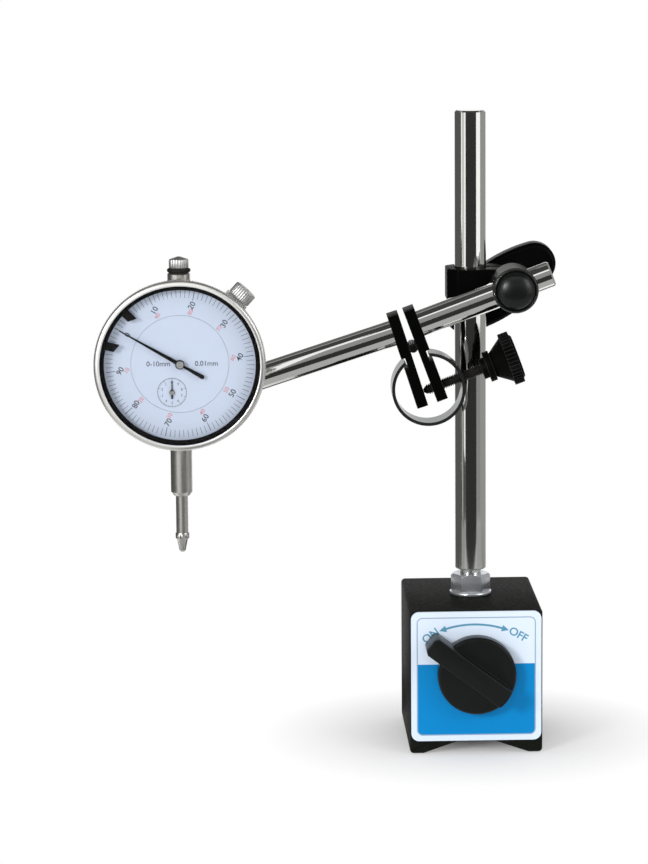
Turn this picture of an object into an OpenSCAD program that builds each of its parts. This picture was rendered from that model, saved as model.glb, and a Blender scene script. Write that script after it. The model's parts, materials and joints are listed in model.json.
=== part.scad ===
// Dial indicator on a jointed stand with a switchable magnetic base.
// Millimetres. The origin is the middle of the base's underside, on the column axis.
// X runs to the right, Y away from the viewer and Z up.

/* [Magnetic base] */
// Width of the base
base_w = 50; // [48:1:60]
// Depth of the base
base_d = 60; // [50:1:80]
// Height of the base
base_h = 55; // [52:1:70]
// Rounding of the base's long edges
base_edge_r = 1.5; // [0.5:0.1:3]
// Width of the V groove at the underside
groove_w = 39.6; // [30:0.2:42]
// Width of the groove's flat roof
groove_roof_w = 14; // [8:0.5:20]
// Height of the groove's roof
groove_h = 4.4; // [3:0.1:6]
// Height of the rotor axis
rotor_z = 31; // [29:0.5:32]
// Diameter of the rotor bore
rotor_bore_d = 32; // [26:0.5:34]
// Thickness of the magnet slab in the rotor
magnet_t = 10; // [6:0.5:14]
// Width of the brass spacers between the poles
spacer_w = 12; // [10:0.5:16]
// Thickness of the bush at the front of the rotor bore
front_bush_t = 1.8; // [1.2:0.1:3]
// Thickness of the rotor's front cap
rotor_cap_t = 2; // [1:0.1:4]
// Diameter of the rotor's shaft
rotor_shaft_d = 10; // [6:0.5:14]
// Thickness of the label plate
label_t = 0.8; // [0.4:0.1:2]
// Bare margin of the base beside and above the label plate
label_margin = 0.5; // [0.4:0.1:3]
// Corner radius of the label plate
label_corner_r = 3; // [1:0.5:6]
// Thickness of the rear cover
rear_cover_t = 1.2; // [0.8:0.1:3]
// Bare margin of the base around the rear cover
rear_cover_margin = 4; // [3:0.5:6]
// Diameter of the rear cover's screws
cover_screw_d = 3; // [2:0.5:3.5]

/* [Base knob] */
// Diameter of the knob's disc
knob_d = 29.5; // [20:0.5:34]
// Thickness of the knob's disc
knob_t = 6; // [4:0.5:9]
// Chamfer of the knob's rim
knob_edge = 0.8; // [0.2:0.1:2]
// Width of the lever across the knob
lever_w = 7.5; // [5:0.5:12]
// Height of the lever above the disc
lever_h = 6; // [3:0.5:10]
// Length of the lever past the disc
lever_out = 7.6; // [3:0.2:10]
// Chamfer of the lever's outer end
lever_chamfer = 1.4; // [0.5:0.1:2]
// Angle of the lever above the horizontal when switched on
lever_angle = 37; // [20:1:60]

/* [Column] */
// Diameter of the column
column_d = 12; // [10:0.5:16]
// Length of the polished column
column_l = 175; // [150:1:220]
// Diameter of the threaded stud below the column
stud_d = 8; // [6:0.5:9]
// Bare stud between the nut and the column
stud_neck = 1.9; // [0.5:0.1:4]
// Metal left under the stud, above the rotor bore
stud_floor = 1; // [0.5:0.1:3]
// Diameter of the washer
washer_d = 16; // [15.5:0.5:22]
// Thickness of the washer
washer_t = 1.6; // [1:0.1:3]
// Width of the lock nut across its flats
nut_af = 13; // [12:0.5:15]
// Height of the lock nut
nut_h = 6.5; // [4:0.1:9]

/* [Column clamp] */
// Height of the clamp bolt's axis
clamp_z = 174.8; // [160:0.2:200]
// Distance from the column axis to the clamp bolt's axis
clamp_spacing = 15.2; // [14.5:0.1:20]
// Height of the clamp block
block_h = 12; // [11:0.5:18]
// Wall of the clamp block in front of and behind the column
block_wall = 4; // [3.5:0.1:5]
// Wall of the clamp block left of the column
block_side_wall = 3.1; // [3:0.1:6]
// Chamfer of the block's left edges
block_chamfer = 3.7; // [1:0.1:5]
// Width of the slot that lets the block close on the column
slot_w = 1.6; // [0.8:0.1:3]
// Diameter of the clamp bolt's shank
bolt_d = 8; // [6:0.5:9]
// Diameter of the clamp bolt's eye
eye_d = 13; // [12.5:0.1:14]
// Wall of the eye in front of the arm
eye_wall = 1.7; // [1.2:0.1:3]
// Outer diameter of the clamp sleeve
sleeve_d = 17; // [16:0.1:19]
// Height of the cap's dome
dome_h = 3; // [2:0.1:6]
// Thickness of the cap's rim
cap_rim_t = 1.4; // [1:0.1:3]
// Length of the wing handle
handle_l = 48.4; // [40:0.2:56]
// Width of the wing handle
handle_w = 21.6; // [20:0.2:24]
// Radius of the handle's ends
handle_end_r = 8; // [6:0.5:9]
// Thickness of the wing handle
handle_t = 10; // [8:0.5:14]
// Chamfer around the handle's faces
handle_chamfer = 1.2; // [0.4:0.1:2]
// Distance from the bolt to the middle of the handle, along the handle
handle_offset = 4.6; // [0:0.2:6]
// Distance from the bolt to the middle of the handle, across the handle
handle_drop = 1.6; // [0:0.2:3]
// Slope of the wing handle
handle_angle = 34.7; // [0:0.1:90]
// Diameter of the handle's hub
hub_d = 14; // [12:0.5:18]
// Length of the handle's hub
hub_l = 2; // [1:0.1:4]

/* [Arm] */
// Diameter of both arm rods
arm_d = 10; // [8:0.1:10.4]
// Gap between the clamp block and the arm
arm_gap = 2.5; // [2:0.1:4]
// Slope of the rear rod
rear_slope = 20.2; // [10:0.1:30]
// Length of the rear rod past the clamp bolt
rear_tail = 15; // [10:0.5:30]
// Distance from the clamp bolt to the adjuster's roller, along the rear rod
adjuster_reach = 43.1; // [43:0.1:60]
// Distance from the roller to the holder's swivel, along the front rod
front_reach = 88.8; // [80:0.2:120]
// Chamfer of the rear rod's end
arm_chamfer = 0.6; // [0.2:0.1:1.5]

/* [Fine adjuster] */
// Opening angle between the two plates
open_angle = 2.4; // [2:0.1:3]
// Thickness of the plates
plate_t = 4.2; // [3.5:0.1:6]
// Depth of the plates and of the spring ring
plate_d = 12; // [10:0.5:13]
// Height of the plates above the rod axis
plate_up = 7.1; // [6.5:0.1:10]
// Depth of the plates below the rod axis
plate_down = 29.2; // [28:0.1:33]
// Gap between the plates at the roller
plate_gap = 2.7; // [2.5:0.1:3.5]
// Distance from the rod axis to the roller
roller_drop = 7; // [6:0.1:8]
// Diameter of the roller
roller_d = 3.6; // [3.5:0.1:4.2]
// Diameter of the rods' spigots in the plates
spigot_d = 7; // [5:0.5:8]
// Outer diameter of the spring ring
ring_d = 27.5; // [26.5:0.1:28.5]
// Wall of the spring ring
ring_wall = 1.2; // [0.8:0.1:1.6]
// Distance from the rod axis to the middle of the spring ring
ring_drop = 23.6; // [23.2:0.1:24.2]
// Depth of the notches that hold the ring's ends
notch_d = 1.5; // [1.2:0.1:1.8]
// Distance from the rod axis to the top of the notches
notch_drop = 9.6; // [9:0.1:10]
// Length of the notches
notch_l = 4.2; // [4:0.1:5]
// Distance from the rod axis to the adjusting screw
screw_drop = 24.4; // [23.5:0.1:25]
// Diameter of the adjusting screw
screw_d = 4; // [3:0.1:5]
// Chamfer of the adjusting screw's tip
tip_chamfer = 1.4; // [0.8:0.1:1.45]
// Distance from the rear plate to the adjuster's knob
knob_reach = 15.6; // [14.5:0.1:20]
// Diameter of the adjuster knob's rim
rim_d = 20; // [16:0.5:20.5]
// Thickness of the ribbed rim
rim_t = 4.6; // [3:0.1:7]
// Number of ribs around the rim
rim_ribs = 40; // [20:2:48]
// Depth of the ribs
rib_d = 0.7; // [0.3:0.1:1]
// Chamfer of the rim's outer end
rim_chamfer = 0.8; // [0.4:0.1:2]
// Length of the knob's cone
cone_l = 5.5; // [3:0.1:9]
// Diameter of the knob's middle collar
collar_d = 11.6; // [9:0.1:13]
// Length of the knob's middle collar
collar_l = 2.4; // [1:0.1:4]
// Diameter of the knob's first collar
neck_d = 8; // [6:0.1:9]
// Length of the knob's first collar
neck_l = 2; // [1:0.1:4]

/* [Indicator holder] */
// Distance between the link's swivel and tilt axes
link_l = 18.8; // [17.5:0.1:24]
// Thickness of the front rod's tongue
tongue_t = 5; // [4:0.1:6]
// Length of the flat tongue
tongue_l = 13; // [12:0.5:18]
// Thickness of the link's ears
ear_t = 3; // [2.5:0.1:4]
// Diameter of the swivel bolt
swivel_d = 5; // [4:0.1:6]
// Diameter of the tilt bolt
tilt_d = 6; // [5:0.1:6.5]
// Height of the bolt heads
head_h = 2.1; // [1.5:0.1:2.2]
// Diameter of the bolt heads
head_d = 8.4; // [7:0.1:9]
// Diameter of the knurled nuts
thumb_d = 10.5; // [9:0.1:12]
// Height of the knurled nuts
thumb_h = 5; // [3:0.1:7]
// Thickness of the back cover's lug
lug_t = 6; // [5:0.1:7]
// Radius of the lug's round end
lug_r = 5.6; // [4.5:0.1:5.8]
// Distance from the back cover to the tilt axis
lug_reach = 8.6; // [8.5:0.1:12]

/* [Indicator case] */
// Diameter of the case
case_d = 56; // [54:0.5:58]
// Depth of the case
case_depth = 15; // [15:0.1:20]
// Wall of the case
case_wall = 2; // [1.5:0.1:2.2]
// Thickness of the back cover
cover_t = 2.5; // [1.5:0.1:4]
// Diameter of the stem
stem_d = 8; // [7:0.1:9.5]
// Length of the stem below the case
stem_l = 22.2; // [16:0.1:30]
// Diameter of the stem's seat in the case
stem_seat_d = 8.8; // [8.6:0.1:10]
// Length of the seat below the case
stem_seat_l = 3; // [2:0.1:5]
// Diameter of the top bush
bush_d = 8.4; // [7:0.1:10]
// Height of the top bush above the case
bush_l = 4.7; // [4:0.1:7]
// Angle of the bezel clamp screw, clockwise from the top
clamp_screw_angle = 42.6; // [20:0.2:70]
// Diameter of the bezel clamp screw's head
clamp_head_d = 8.8; // [7:0.1:10]
// Height of the bezel clamp screw's head
clamp_head_h = 4.7; // [3:0.1:7]
// Diameter of the bezel clamp screw
clamp_screw_d = 2; // [1.4:0.1:2.2]

/* [Dial] */
// Diameter of the bezel
bezel_d = 63; // [62:0.2:66]
// Depth of the bezel's rim
bezel_depth = 7.5; // [7:0.1:7.8]
// Wall of the bezel around the crystal
bezel_wall = 1.7; // [1.4:0.1:2.4]
// Depth of the bezel's knurled edge
bezel_grip = 3.4; // [2.5:0.1:4.5]
// Taper of the bezel behind its knurled edge
bezel_taper = 0.9; // [0.3:0.1:0.9]
// Front lip of the bezel over the crystal
bezel_lip = 0.5; // [0.3:0.1:1]
// Thickness of the crystal
crystal_t = 1.5; // [1:0.1:2.5]
// Height of the black ring behind the crystal
ring_h = 3.8; // [3.4:0.1:6]
// Width of the black ring
ring_w = 2.1; // [1.5:0.1:2.4]
// Thickness of the scale ring and of the centre face
face_t = 0.6; // [0.3:0.1:1]
// Diameter of the fixed centre face
centre_d = 35.8; // [32:0.2:40]
// Length of the main pointer
pointer_l = 25.3; // [20:0.1:26]
// Length of the main pointer's tail
pointer_tail = 10.2; // [6:0.1:12]
// Angle of the main pointer, clockwise from the top
pointer_angle = -60; // [-180:1:180]
// Diameter of the main pointer's hub
pointer_hub_d = 3.4; // [3:0.1:5]
// Length of the small pointer
small_pointer_l = 4.6; // [3:0.1:6]
// Distance of the small dial left of the main axis
small_dial_x = 3; // [2.8:0.05:3.2]
// Radius of the limit tabs' inner tips
tab_r = 23.1; // [21:0.1:25]
// Width of the limit tabs
tab_w = 3.1; // [2:0.1:4]
// Angle between each limit tab and the pointer
tab_angle = 14.5; // [10:0.1:40]

/* [Spindle] */
// Diameter of the spindle
spindle_d = 4.5; // [4.2:0.1:5]
// Diameter of the spindle's upper part
upper_d = 3.6; // [3:0.1:3.8]
// Travel of the spindle
travel = 10; // [8:0.5:12]
// Length of spindle below the stem
spindle_out = 14.1; // [13:0.1:20]
// Length of the contact point
point_l = 7.4; // [5:0.1:12]
// Diameter of the contact point's collar
point_d = 5.1; // [4.6:0.1:6]
// Diameter of the spindle cap
cap_d = 7.2; // [6:0.1:9]
// Height of the spindle cap
cap_h = 4.3; // [3:0.1:6]
// Thickness of the O-ring below the cap
o_ring_t = 1.5; // [1.2:0.1:2]
// Outer diameter of the O-ring
o_ring_d = 8.7; // [8:0.1:10]
// Diameter of the guide pin
guide_pin_d = 1.4; // [1:0.1:1.8]
// Wire diameter of the return spring
wire_d = 0.44; // [0.3:0.02:0.5]
// Number of turns of the return spring
spring_turns = 14; // [8:1:16]

/* [Movement] */
// Pitch of the rack
rack_pitch = 0.625; // [0.6:0.005:0.65]
// Teeth of the pinion on the rack
rack_pinion_teeth = 16; // [16:1:18]
// Teeth of the wheels
wheel_teeth = 100; // [90:2:100]
// Teeth of the centre pinion
centre_teeth = 10; // [10:2:12]
// Thickness of the wheels
wheel_t = 0.7; // [0.4:0.05:0.9]
// Thickness of the movement plate
plate_front_t = 1.2; // [0.8:0.05:1.4]
// Thickness of the bridge
bridge_t = 1; // [0.6:0.05:1.2]
// Diameter of the bridge
bridge_d = 41; // [40:0.2:42]
// Turns of the hairspring
hair_turns = 6; // [4:1:7]

/* [Fits] */
// Radial gap of assembled fits
fit_gap = 0.02; // [0.01:0.01:0.04]
// Radial gap of running fits
run_gap = 0.05; // [0.03:0.01:0.08]
// Gap between free faces
free_gap = 0.3; // [0.2:0.05:0.4]

/* [Hidden] */
$fn = 96;

// Levels of the base, from front to back
base_front = -base_d / 2;
base_back = base_d / 2;
label_front = base_front - label_t;
knob_back = label_front - free_gap;
knob_front = knob_back - knob_t;
bush_back = base_front + front_bush_t;
rotor_front = bush_back + free_gap;
rotor_body_front = rotor_front + rotor_cap_t;
rotor_back = base_back - free_gap;
rotor_r = rotor_bore_d / 2 - run_gap;
label_low = groove_h + label_margin;
rear_cover_w = base_w - 2 * rear_cover_margin;
rear_cover_low = groove_h + rear_cover_margin;
rear_cover_h = base_h - rear_cover_margin - rear_cover_low;
cover_screw_inset = cover_screw_d / 2 + 1.5;
cover_screw_depth = 6;
cover_head_h = 1.4;

// Levels of the column
nut_low = base_h + washer_t;
nut_top = nut_low + nut_h;
column_low = nut_top + stud_neck;
column_top = column_low + column_l;
stud_low = rotor_z + rotor_bore_d / 2 + stud_floor;
column_chamfer = 0.6;

// Places of the clamp and the arm
block_d = column_d + 2 * (run_gap + block_wall);
block_left = -(column_d / 2 + run_gap + block_side_wall);
arm_y = -block_d / 2 - arm_gap - arm_d / 2;
arm_r = arm_d / 2;
sleeve_hole_r = arm_r + 0.35;
eye_front = arm_y - arm_r - run_gap - eye_wall;
cap_plug = 1;
sleeve_front = eye_front - free_gap - cap_plug;
sleeve_back = -block_d / 2;
sleeve_bore_r = eye_d / 2 + 0.1;
hub_front = block_d / 2;
handle_front = hub_front + hub_l;
handle_back = handle_front + handle_t;
handle_skin = 2;

// The arm's frames: both rods slope in the plane Y = arm_y
front_slope = rear_slope - open_angle;
clamp_pos = [clamp_spacing, arm_y, clamp_z];
roller_pos = clamp_pos + along(rear_slope, -adjuster_reach, -roller_drop);
swivel_pos = roller_pos + along(front_slope, -front_reach, roller_drop);
rear_plate_near = -adjuster_reach + plate_gap / 2;
rear_plate_far = rear_plate_near + plate_t;
front_plate_near = -plate_gap / 2;
front_plate_far = front_plate_near - plate_t;
roller_fit_r = roller_d / 2 + run_gap;
screw_below_roller = screw_drop - roller_drop;
screw_tip = -adjuster_reach + front_plate_near * cos(open_angle)
    - screw_below_roller * sin(open_angle) + free_gap / 4;
adjuster_start = rear_plate_far + knob_reach;
neck_end = adjuster_start + neck_l;
collar_end = neck_end + collar_l;
cone_end = collar_end + cone_l;
rim_end = cone_end + rim_t;
ring_open = asin((plate_gap / 2 + plate_t - notch_d + 0.7) / (ring_d / 2 - ring_wall / 2));

// Sizes of the holder
ear_in_y = tongue_t / 2 + fit_gap * 4;
ear_out_y = ear_in_y + ear_t;
ear_in_x = lug_t / 2 + fit_gap * 4;
ear_out_x = ear_in_x + ear_t;
link_low = arm_r + 1.3;
link_swing = 36;
link_edge = link_low + ear_out_x * tan(link_swing);
link_high = link_l - lug_r - 0.7;

// Levels of the indicator, measured back from the rear of its back cover
case_r = case_d / 2;
case_rear = -cover_t;
case_front = case_rear - case_depth;
spindle_y = case_rear - case_depth / 2;
scale_back = case_front - 0.2;
scale_front = scale_back - face_t;
crystal_back = scale_front - ring_h;
crystal_front = crystal_back - crystal_t;
bezel_front = crystal_front - 0.9;
bezel_r = bezel_d / 2;
pocket_r = bezel_r - bezel_wall;
rim_back = bezel_front + bezel_depth;
skirt_back = spindle_y - max(stem_seat_d, bush_d) / 2 - free_gap;
skirt_r = case_r + run_gap + 1.2;
ring_in_r = pocket_r - ring_w;
tab_front = crystal_back + 0.9;
tab_t = 0.6;
tab_groove_r = ring_in_r + ring_w / 2;
clamp_screw_y = skirt_back - clamp_screw_d / 2 - 0.1;
clamp_boss_front = rim_back + 0.2;
clamp_boss_back = skirt_back + 5;
clamp_boss_top = bezel_r + 0.1;
pointer_back = scale_front - 1.3;
pointer_t = 0.4;
small_pointer_back = scale_front - 0.3;
small_pointer_t = 0.25;

// Levels of the movement
plate_front = case_front + 0.1;
plate_back = plate_front + plate_front_t;
wheel_front = plate_back + 0.9;
wheel_back = wheel_front + wheel_t;
bridge_front = wheel_back + 0.6;
bridge_back = bridge_front + bridge_t;
flange_t = 1;
case_in_r = case_r - case_wall;
flange_r = case_in_r - 2.5;
seat_r = case_in_r - 0.1;
plate_screw_r = (seat_r + flange_r) / 2;
boss_r = 2.4;
boss_place_r = case_in_r - boss_r + case_wall * 0.4;
cover_pin_r = 1;
cover_pin_l = 5;
cover_pin_head = 0.9;

// Sizes of the gears
gear_module = rack_pitch / PI;
wheel_r = wheel_teeth * gear_module / 2;
centre_r = centre_teeth * gear_module / 2;
rack_pinion_r = rack_pinion_teeth * gear_module / 2;
gear_distance = wheel_r + centre_r;
small_dial_z = -sqrt(gear_distance * gear_distance - small_dial_x * small_dial_x);
mesh_angle = atan2(-small_dial_z, small_dial_x);
tooth_play = 0.09;
tooth_out = 0.85;
tooth_in = 1.3;
pressure_angle = 20;
pivot_r = 0.45;
arbor_r = 0.9;
cock_front = spindle_y + spindle_d / 2 + 0.9;
cock_t = 1;
cock_l = 10;
pillar_r = 1.6;
pillar_side = bridge_d / 2 - 3.5;
pillar_far = bridge_d / 2 - pillar_r - 0.46;
pillar_angle = 139.4;
pillar_x = pillar_far * sin(pillar_angle);
pillar_z = pillar_far * cos(pillar_angle);
pillar_places = [[pillar_side, 0], [-pillar_side, 0], [pillar_x, pillar_z], [-pillar_x, -pillar_z]];

// Levels of the spindle, measured up from the dial's middle
spindle_low = -(case_r + stem_l + spindle_out);
step_low = 3;
step_top = 4.2;
step_r = spindle_d / 2 + 0.25;
bush_low = case_in_r - 1;
bush_top = case_r + bush_l;
o_ring_low = bush_top + 0.1;
cap_low = o_ring_low + o_ring_t;
cap_top = cap_low + cap_h;
upper_top = cap_top - 1.4;
guide_z = -5;
guide_x = spindle_d / 2 + 1.4;
guide_t = 1.6;
rail_end = 1.9;
rack_x = -small_dial_x + rack_pinion_r;
rack_spare = 2;
rack_tooth_count = floor((travel + 2 * rack_spare) / rack_pitch);
spring_r = upper_d / 2 + 0.23 + wire_d / 2;
spring_low = step_top + wire_d / 2;
spring_high = bush_low - wire_d / 2;
spiral_step = 20;
spring_rings = 8;
spring_sides = 6;

// A vector in the arm's plane: x along a rod of the given slope, z square to it
function along(slope, x, z) = [x * cos(slope) - z * sin(slope), 0, x * sin(slope) + z * cos(slope)];

function involute(a) = tan(a) - a * PI / 180;

// Half the angle that a tooth takes up at radius r
function tooth_half(r, teeth) =
    let (base_r = teeth * gear_module / 2 * cos(pressure_angle))
    let (a = acos(base_r / max(r, base_r)))
    (PI / (2 * teeth) - tooth_play / (teeth * gear_module)
        + involute(pressure_angle) - involute(a)) * 180 / PI;

function tooth_radii(teeth) =
    let (r = teeth * gear_module / 2)
    [r - tooth_in * gear_module, r, r + tooth_out * gear_module];

function tooth_points(teeth, k) =
    let (radii = tooth_radii(teeth))
    [for (side = [-1, 1], step = [0:2])
        let (r = radii[side < 0 ? step : 2 - step])
        let (a = 360 * k / teeth + side * tooth_half(r, teeth))
        [r * cos(a), r * sin(a)]];

// One rack tooth, pointing left from the pitch line
function rack_tooth(z) =
    let (half = rack_pitch / 4 - tooth_play / 2)
    let (slant = gear_module * tan(pressure_angle))
    let (root = half + tooth_in * slant, tip = half - tooth_out * slant)
    let (root_x = rack_x + tooth_in * gear_module, tip_x = rack_x - tooth_out * gear_module)
    [[root_x, z - root], [tip_x, z - tip], [tip_x, z + tip], [root_x, z + root]];

function spring_point(ring, side) =
    let (turn = 360 * ring / spring_rings, b = 360 * side / spring_sides)
    let (r = spring_r + wire_d / 2 * cos(b))
    let (rise = (spring_high - spring_low) * ring / (spring_rings * spring_turns))
    [r * cos(turn), r * sin(turn), spring_low + rise + wire_d / 2 * sin(b)];

function spiral_point(k, r) = [r * cos(spiral_step * k), r * sin(spiral_step * k)];

// Shared shapes
module ycyl(r, y0, y1) {
    translate([0, y0, 0]) rotate([-90, 0, 0]) cylinder(r = r, h = y1 - y0);
}

module xcyl(r, x0, x1) {
    translate([x0, 0, 0]) rotate([0, 90, 0]) cylinder(r = r, h = x1 - x0);
}

module zcyl(r, z0, z1) {
    translate([0, 0, z0]) cylinder(r = r, h = z1 - z0);
}

module yturn(points) {
    rotate([-90, 0, 0]) rotate_extrude() polygon(points);
}

module yprism(y0, y1) {
    translate([0, y1, 0]) rotate([90, 0, 0]) linear_extrude(y1 - y0) children();
}

module ytube(outer, inner, y0, y1) {
    difference() {
        ycyl(outer, y0, y1);
        ycyl(inner, y0 - 1, y1 + 1);
    }
}

module round_rect(w, h, r) {
    translate([-w / 2 + r, 0]) square([w - 2 * r, h]);
    translate([-w / 2, r]) square([w, h - 2 * r]);
    for (x = [-w / 2 + r, w / 2 - r], z = [r, h - r]) translate([x, z]) circle(r);
}

module gear(teeth) {
    polygon([for (k = [0:teeth - 1]) each tooth_points(teeth, k)]);
}

module oval(l, w, end_r) {
    side_r = (l * l / 4 + w * w / 4 - l * end_r) / (w - 2 * end_r);
    end_x = l / 2 - end_r;
    side_z = side_r - w / 2;
    reach = end_x + end_r * end_x / norm([end_x, side_z]);
    intersection() {
        translate([0, side_z]) circle(side_r, $fn = 192);
        translate([0, -side_z]) circle(side_r, $fn = 192);
        square([2 * reach, 2 * w], center = true);
    }
    for (side = [-1, 1]) translate([side * end_x, 0]) circle(end_r);
}

module thumb_nut(bore_r, h) {
    difference() {
        ycyl(thumb_d / 2, 0, h);
        ycyl(bore_r, -1, h + 1);
    }
}

// Frames
module rotor_frame() {
    translate([0, 0, rotor_z]) children();
}

module clamp_frame() {
    translate([clamp_spacing, 0, clamp_z]) children();
}

module rear_frame() {
    translate(clamp_pos) rotate([0, -rear_slope, 0]) children();
}

module front_frame() {
    translate(roller_pos) rotate([0, -front_slope, 0]) children();
}

module link_frame() {
    translate(swivel_pos) children();
}

module dial_frame() {
    translate(swivel_pos + [0, -lug_reach, link_l]) children();
}

module rack_arbor_frame() {
    dial_frame() translate([-small_dial_x, 0, small_dial_z]) children();
}

module hair_arbor_frame() {
    dial_frame() translate([small_dial_x, 0, -small_dial_z]) children();
}

module spindle_frame() {
    dial_frame() translate([0, spindle_y, 0]) children();
}

// Turns clockwise about the dial's axis, as seen from the front
module dial_turn(a) {
    rotate([0, a, 0]) children();
}

// Magnetic base
module base_outline() {
    difference() {
        round_rect(base_w, base_h, base_edge_r);
        polygon([
            [-groove_w / 2, -1], [-groove_w / 2, 0], [-groove_roof_w / 2, groove_h],
            [groove_roof_w / 2, groove_h], [groove_w / 2, 0], [groove_w / 2, -1]
        ]);
        translate([0, rotor_z]) circle(rotor_bore_d / 2);
    }
}

module cover_screw_places() {
    for (x = [-1, 1], z = [0, 1]) {
        translate([
            x * (rear_cover_w / 2 - cover_screw_inset), 0,
            z == 0 ? rear_cover_low + cover_screw_inset : rear_cover_low + rear_cover_h - cover_screw_inset
        ]) children();
    }
}

module pole_blocks() {
    color("#1c1c1e") difference() {
        yprism(base_front, base_back) difference() {
            base_outline();
            translate([-spacer_w / 2, -1]) square([spacer_w, base_h + 2]);
        }
        cover_screw_places() ycyl(cover_screw_d / 2 + fit_gap, base_back - cover_screw_depth, base_back + 1);
    }
}

module pole_spacers() {
    color("#b5954a") difference() {
        yprism(base_front, base_back) intersection() {
            base_outline();
            translate([-spacer_w / 2, 0]) square([spacer_w, base_h]);
        }
        zcyl(stud_d / 2 + run_gap, rotor_z, base_h + 1);
    }
}

module front_bush() {
    color("#b5954a") rotor_frame()
        ytube(rotor_bore_d / 2 - fit_gap, rotor_shaft_d / 2 + run_gap, base_front, bush_back);
}

module label_plate() {
    color("#2b8fd0") difference() {
        translate([0, 0, label_low]) yprism(label_front, base_front)
            round_rect(base_w - 2 * label_margin, base_h - label_margin - label_low, label_corner_r);
        rotor_frame() ycyl(rotor_shaft_d / 2 + free_gap, label_front - 1, base_front + 1);
    }
}

module rear_cover() {
    color("#242426") difference() {
        translate([0, 0, rear_cover_low]) yprism(base_back, base_back + rear_cover_t)
            round_rect(rear_cover_w, rear_cover_h, label_corner_r);
        cover_screw_places() ycyl(cover_screw_d / 2 + free_gap, base_back - 1, base_back + rear_cover_t + 1);
    }
}

module cover_screws() {
    color("#a9adb0") cover_screw_places() {
        ycyl(cover_screw_d / 2, base_back - cover_screw_depth, base_back + rear_cover_t);
        ycyl(cover_screw_d, base_back + rear_cover_t, base_back + rear_cover_t + cover_head_h);
    }
}

module rotor_magnet() {
    color("#3a3a3d") rotor_frame() yprism(rotor_body_front, rotor_back) intersection() {
        circle(rotor_r);
        square([magnet_t, rotor_bore_d], center = true);
    }
}

module rotor_poles() {
    color("#8d9195") rotor_frame() yprism(rotor_body_front, rotor_back) difference() {
        circle(rotor_r);
        square([magnet_t, 2 * rotor_bore_d], center = true);
    }
}

module rotor_shaft() {
    color("#b5954a") rotor_frame() {
        ycyl(rotor_r, rotor_front, rotor_body_front);
        ycyl(rotor_shaft_d / 2, knob_back - knob_t / 2, rotor_front);
    }
}

module base_knob() {
    lever_front = knob_front - lever_h;
    lever_tip = knob_d / 2 + lever_out;
    lever_side = lever_w / 2;
    color("#161617") rotor_frame() difference() {
        union() {
            yturn([
                [0, knob_front], [knob_d / 2 - knob_edge, knob_front], [knob_d / 2, knob_front + knob_edge],
                [knob_d / 2, knob_back], [0, knob_back]
            ]);
            rotate([0, lever_angle, 0]) yprism(lever_front, knob_back) polygon([
                [0, -lever_side], [0, lever_side], [lever_chamfer - lever_tip, lever_side],
                [-lever_tip, lever_side - lever_chamfer], [-lever_tip, lever_chamfer - lever_side],
                [lever_chamfer - lever_tip, -lever_side]
            ]);
            rotate([0, lever_angle, 0]) yprism(lever_front, knob_front + knob_edge / 2) intersection() {
                translate([0, -lever_side]) square([knob_d / 2, lever_w]);
                circle(knob_d / 2 - 1.5 * knob_edge);
            }
        }
        ycyl(rotor_shaft_d / 2 + fit_gap, knob_back - knob_t / 2, knob_back + 1);
    }
}

// Column
module column_washer() {
    color("#c4c8cb") difference() {
        zcyl(washer_d / 2, base_h, nut_low);
        zcyl(stud_d / 2 + free_gap, base_h - 1, nut_low + 1);
    }
}

module column_nut() {
    color("#c4c8cb") difference() {
        intersection() {
            translate([0, 0, nut_low]) cylinder(r = nut_af / sqrt(3), h = nut_h, $fn = 6);
            translate([0, 0, nut_low]) cylinder(r1 = nut_af / 2 + nut_h, r2 = nut_af / 2 + 0.3, h = nut_h);
        }
        zcyl(stud_d / 2 + run_gap, nut_low - 1, nut_top + 1);
    }
}

module column() {
    color("#d7dadc") {
        zcyl(stud_d / 2, stud_low, column_low);
        rotate_extrude() polygon([
            [0, column_low], [column_d / 2 - column_chamfer, column_low],
            [column_d / 2, column_low + column_chamfer], [column_d / 2, column_top - column_chamfer],
            [column_d / 2 - column_chamfer, column_top], [0, column_top]
        ]);
    }
}

// Column clamp
module clamp_block() {
    color("#1b1b1c") difference() {
        translate([0, 0, clamp_z]) yprism(-block_d / 2, block_d / 2) {
            translate([block_left, -block_h / 2]) square([clamp_spacing - block_left, block_h]);
            translate([clamp_spacing, 0]) circle(block_h / 2);
        }
        for (side = [-1, 1]) {
            translate([block_left, side * block_d / 2, clamp_z]) rotate([0, 0, 45])
                cube([block_chamfer * sqrt(2), block_chamfer * sqrt(2), block_h + 2], center = true);
        }
        zcyl(column_d / 2 + run_gap, clamp_z - block_h, clamp_z + block_h);
        clamp_frame() ycyl(bolt_d / 2 + run_gap, -block_d, block_d);
        translate([0, -slot_w / 2, clamp_z - block_h]) cube([clamp_spacing + block_h, slot_w, 2 * block_h]);
    }
}

module eye_bolt() {
    color("#b9bdc0") difference() {
        clamp_frame() {
            ycyl(eye_d / 2, eye_front, sleeve_back - free_gap);
            ycyl(bolt_d / 2, sleeve_back - free_gap, handle_back - handle_skin);
        }
        rear_frame() xcyl(arm_r + run_gap, -sleeve_d, sleeve_d);
    }
}

module clamp_sleeve() {
    color("#cfd3d5") difference() {
        clamp_frame() ytube(sleeve_d / 2, sleeve_bore_r, sleeve_front, sleeve_back);
        rear_frame() xcyl(sleeve_hole_r, -sleeve_d, sleeve_d);
    }
}

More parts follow.
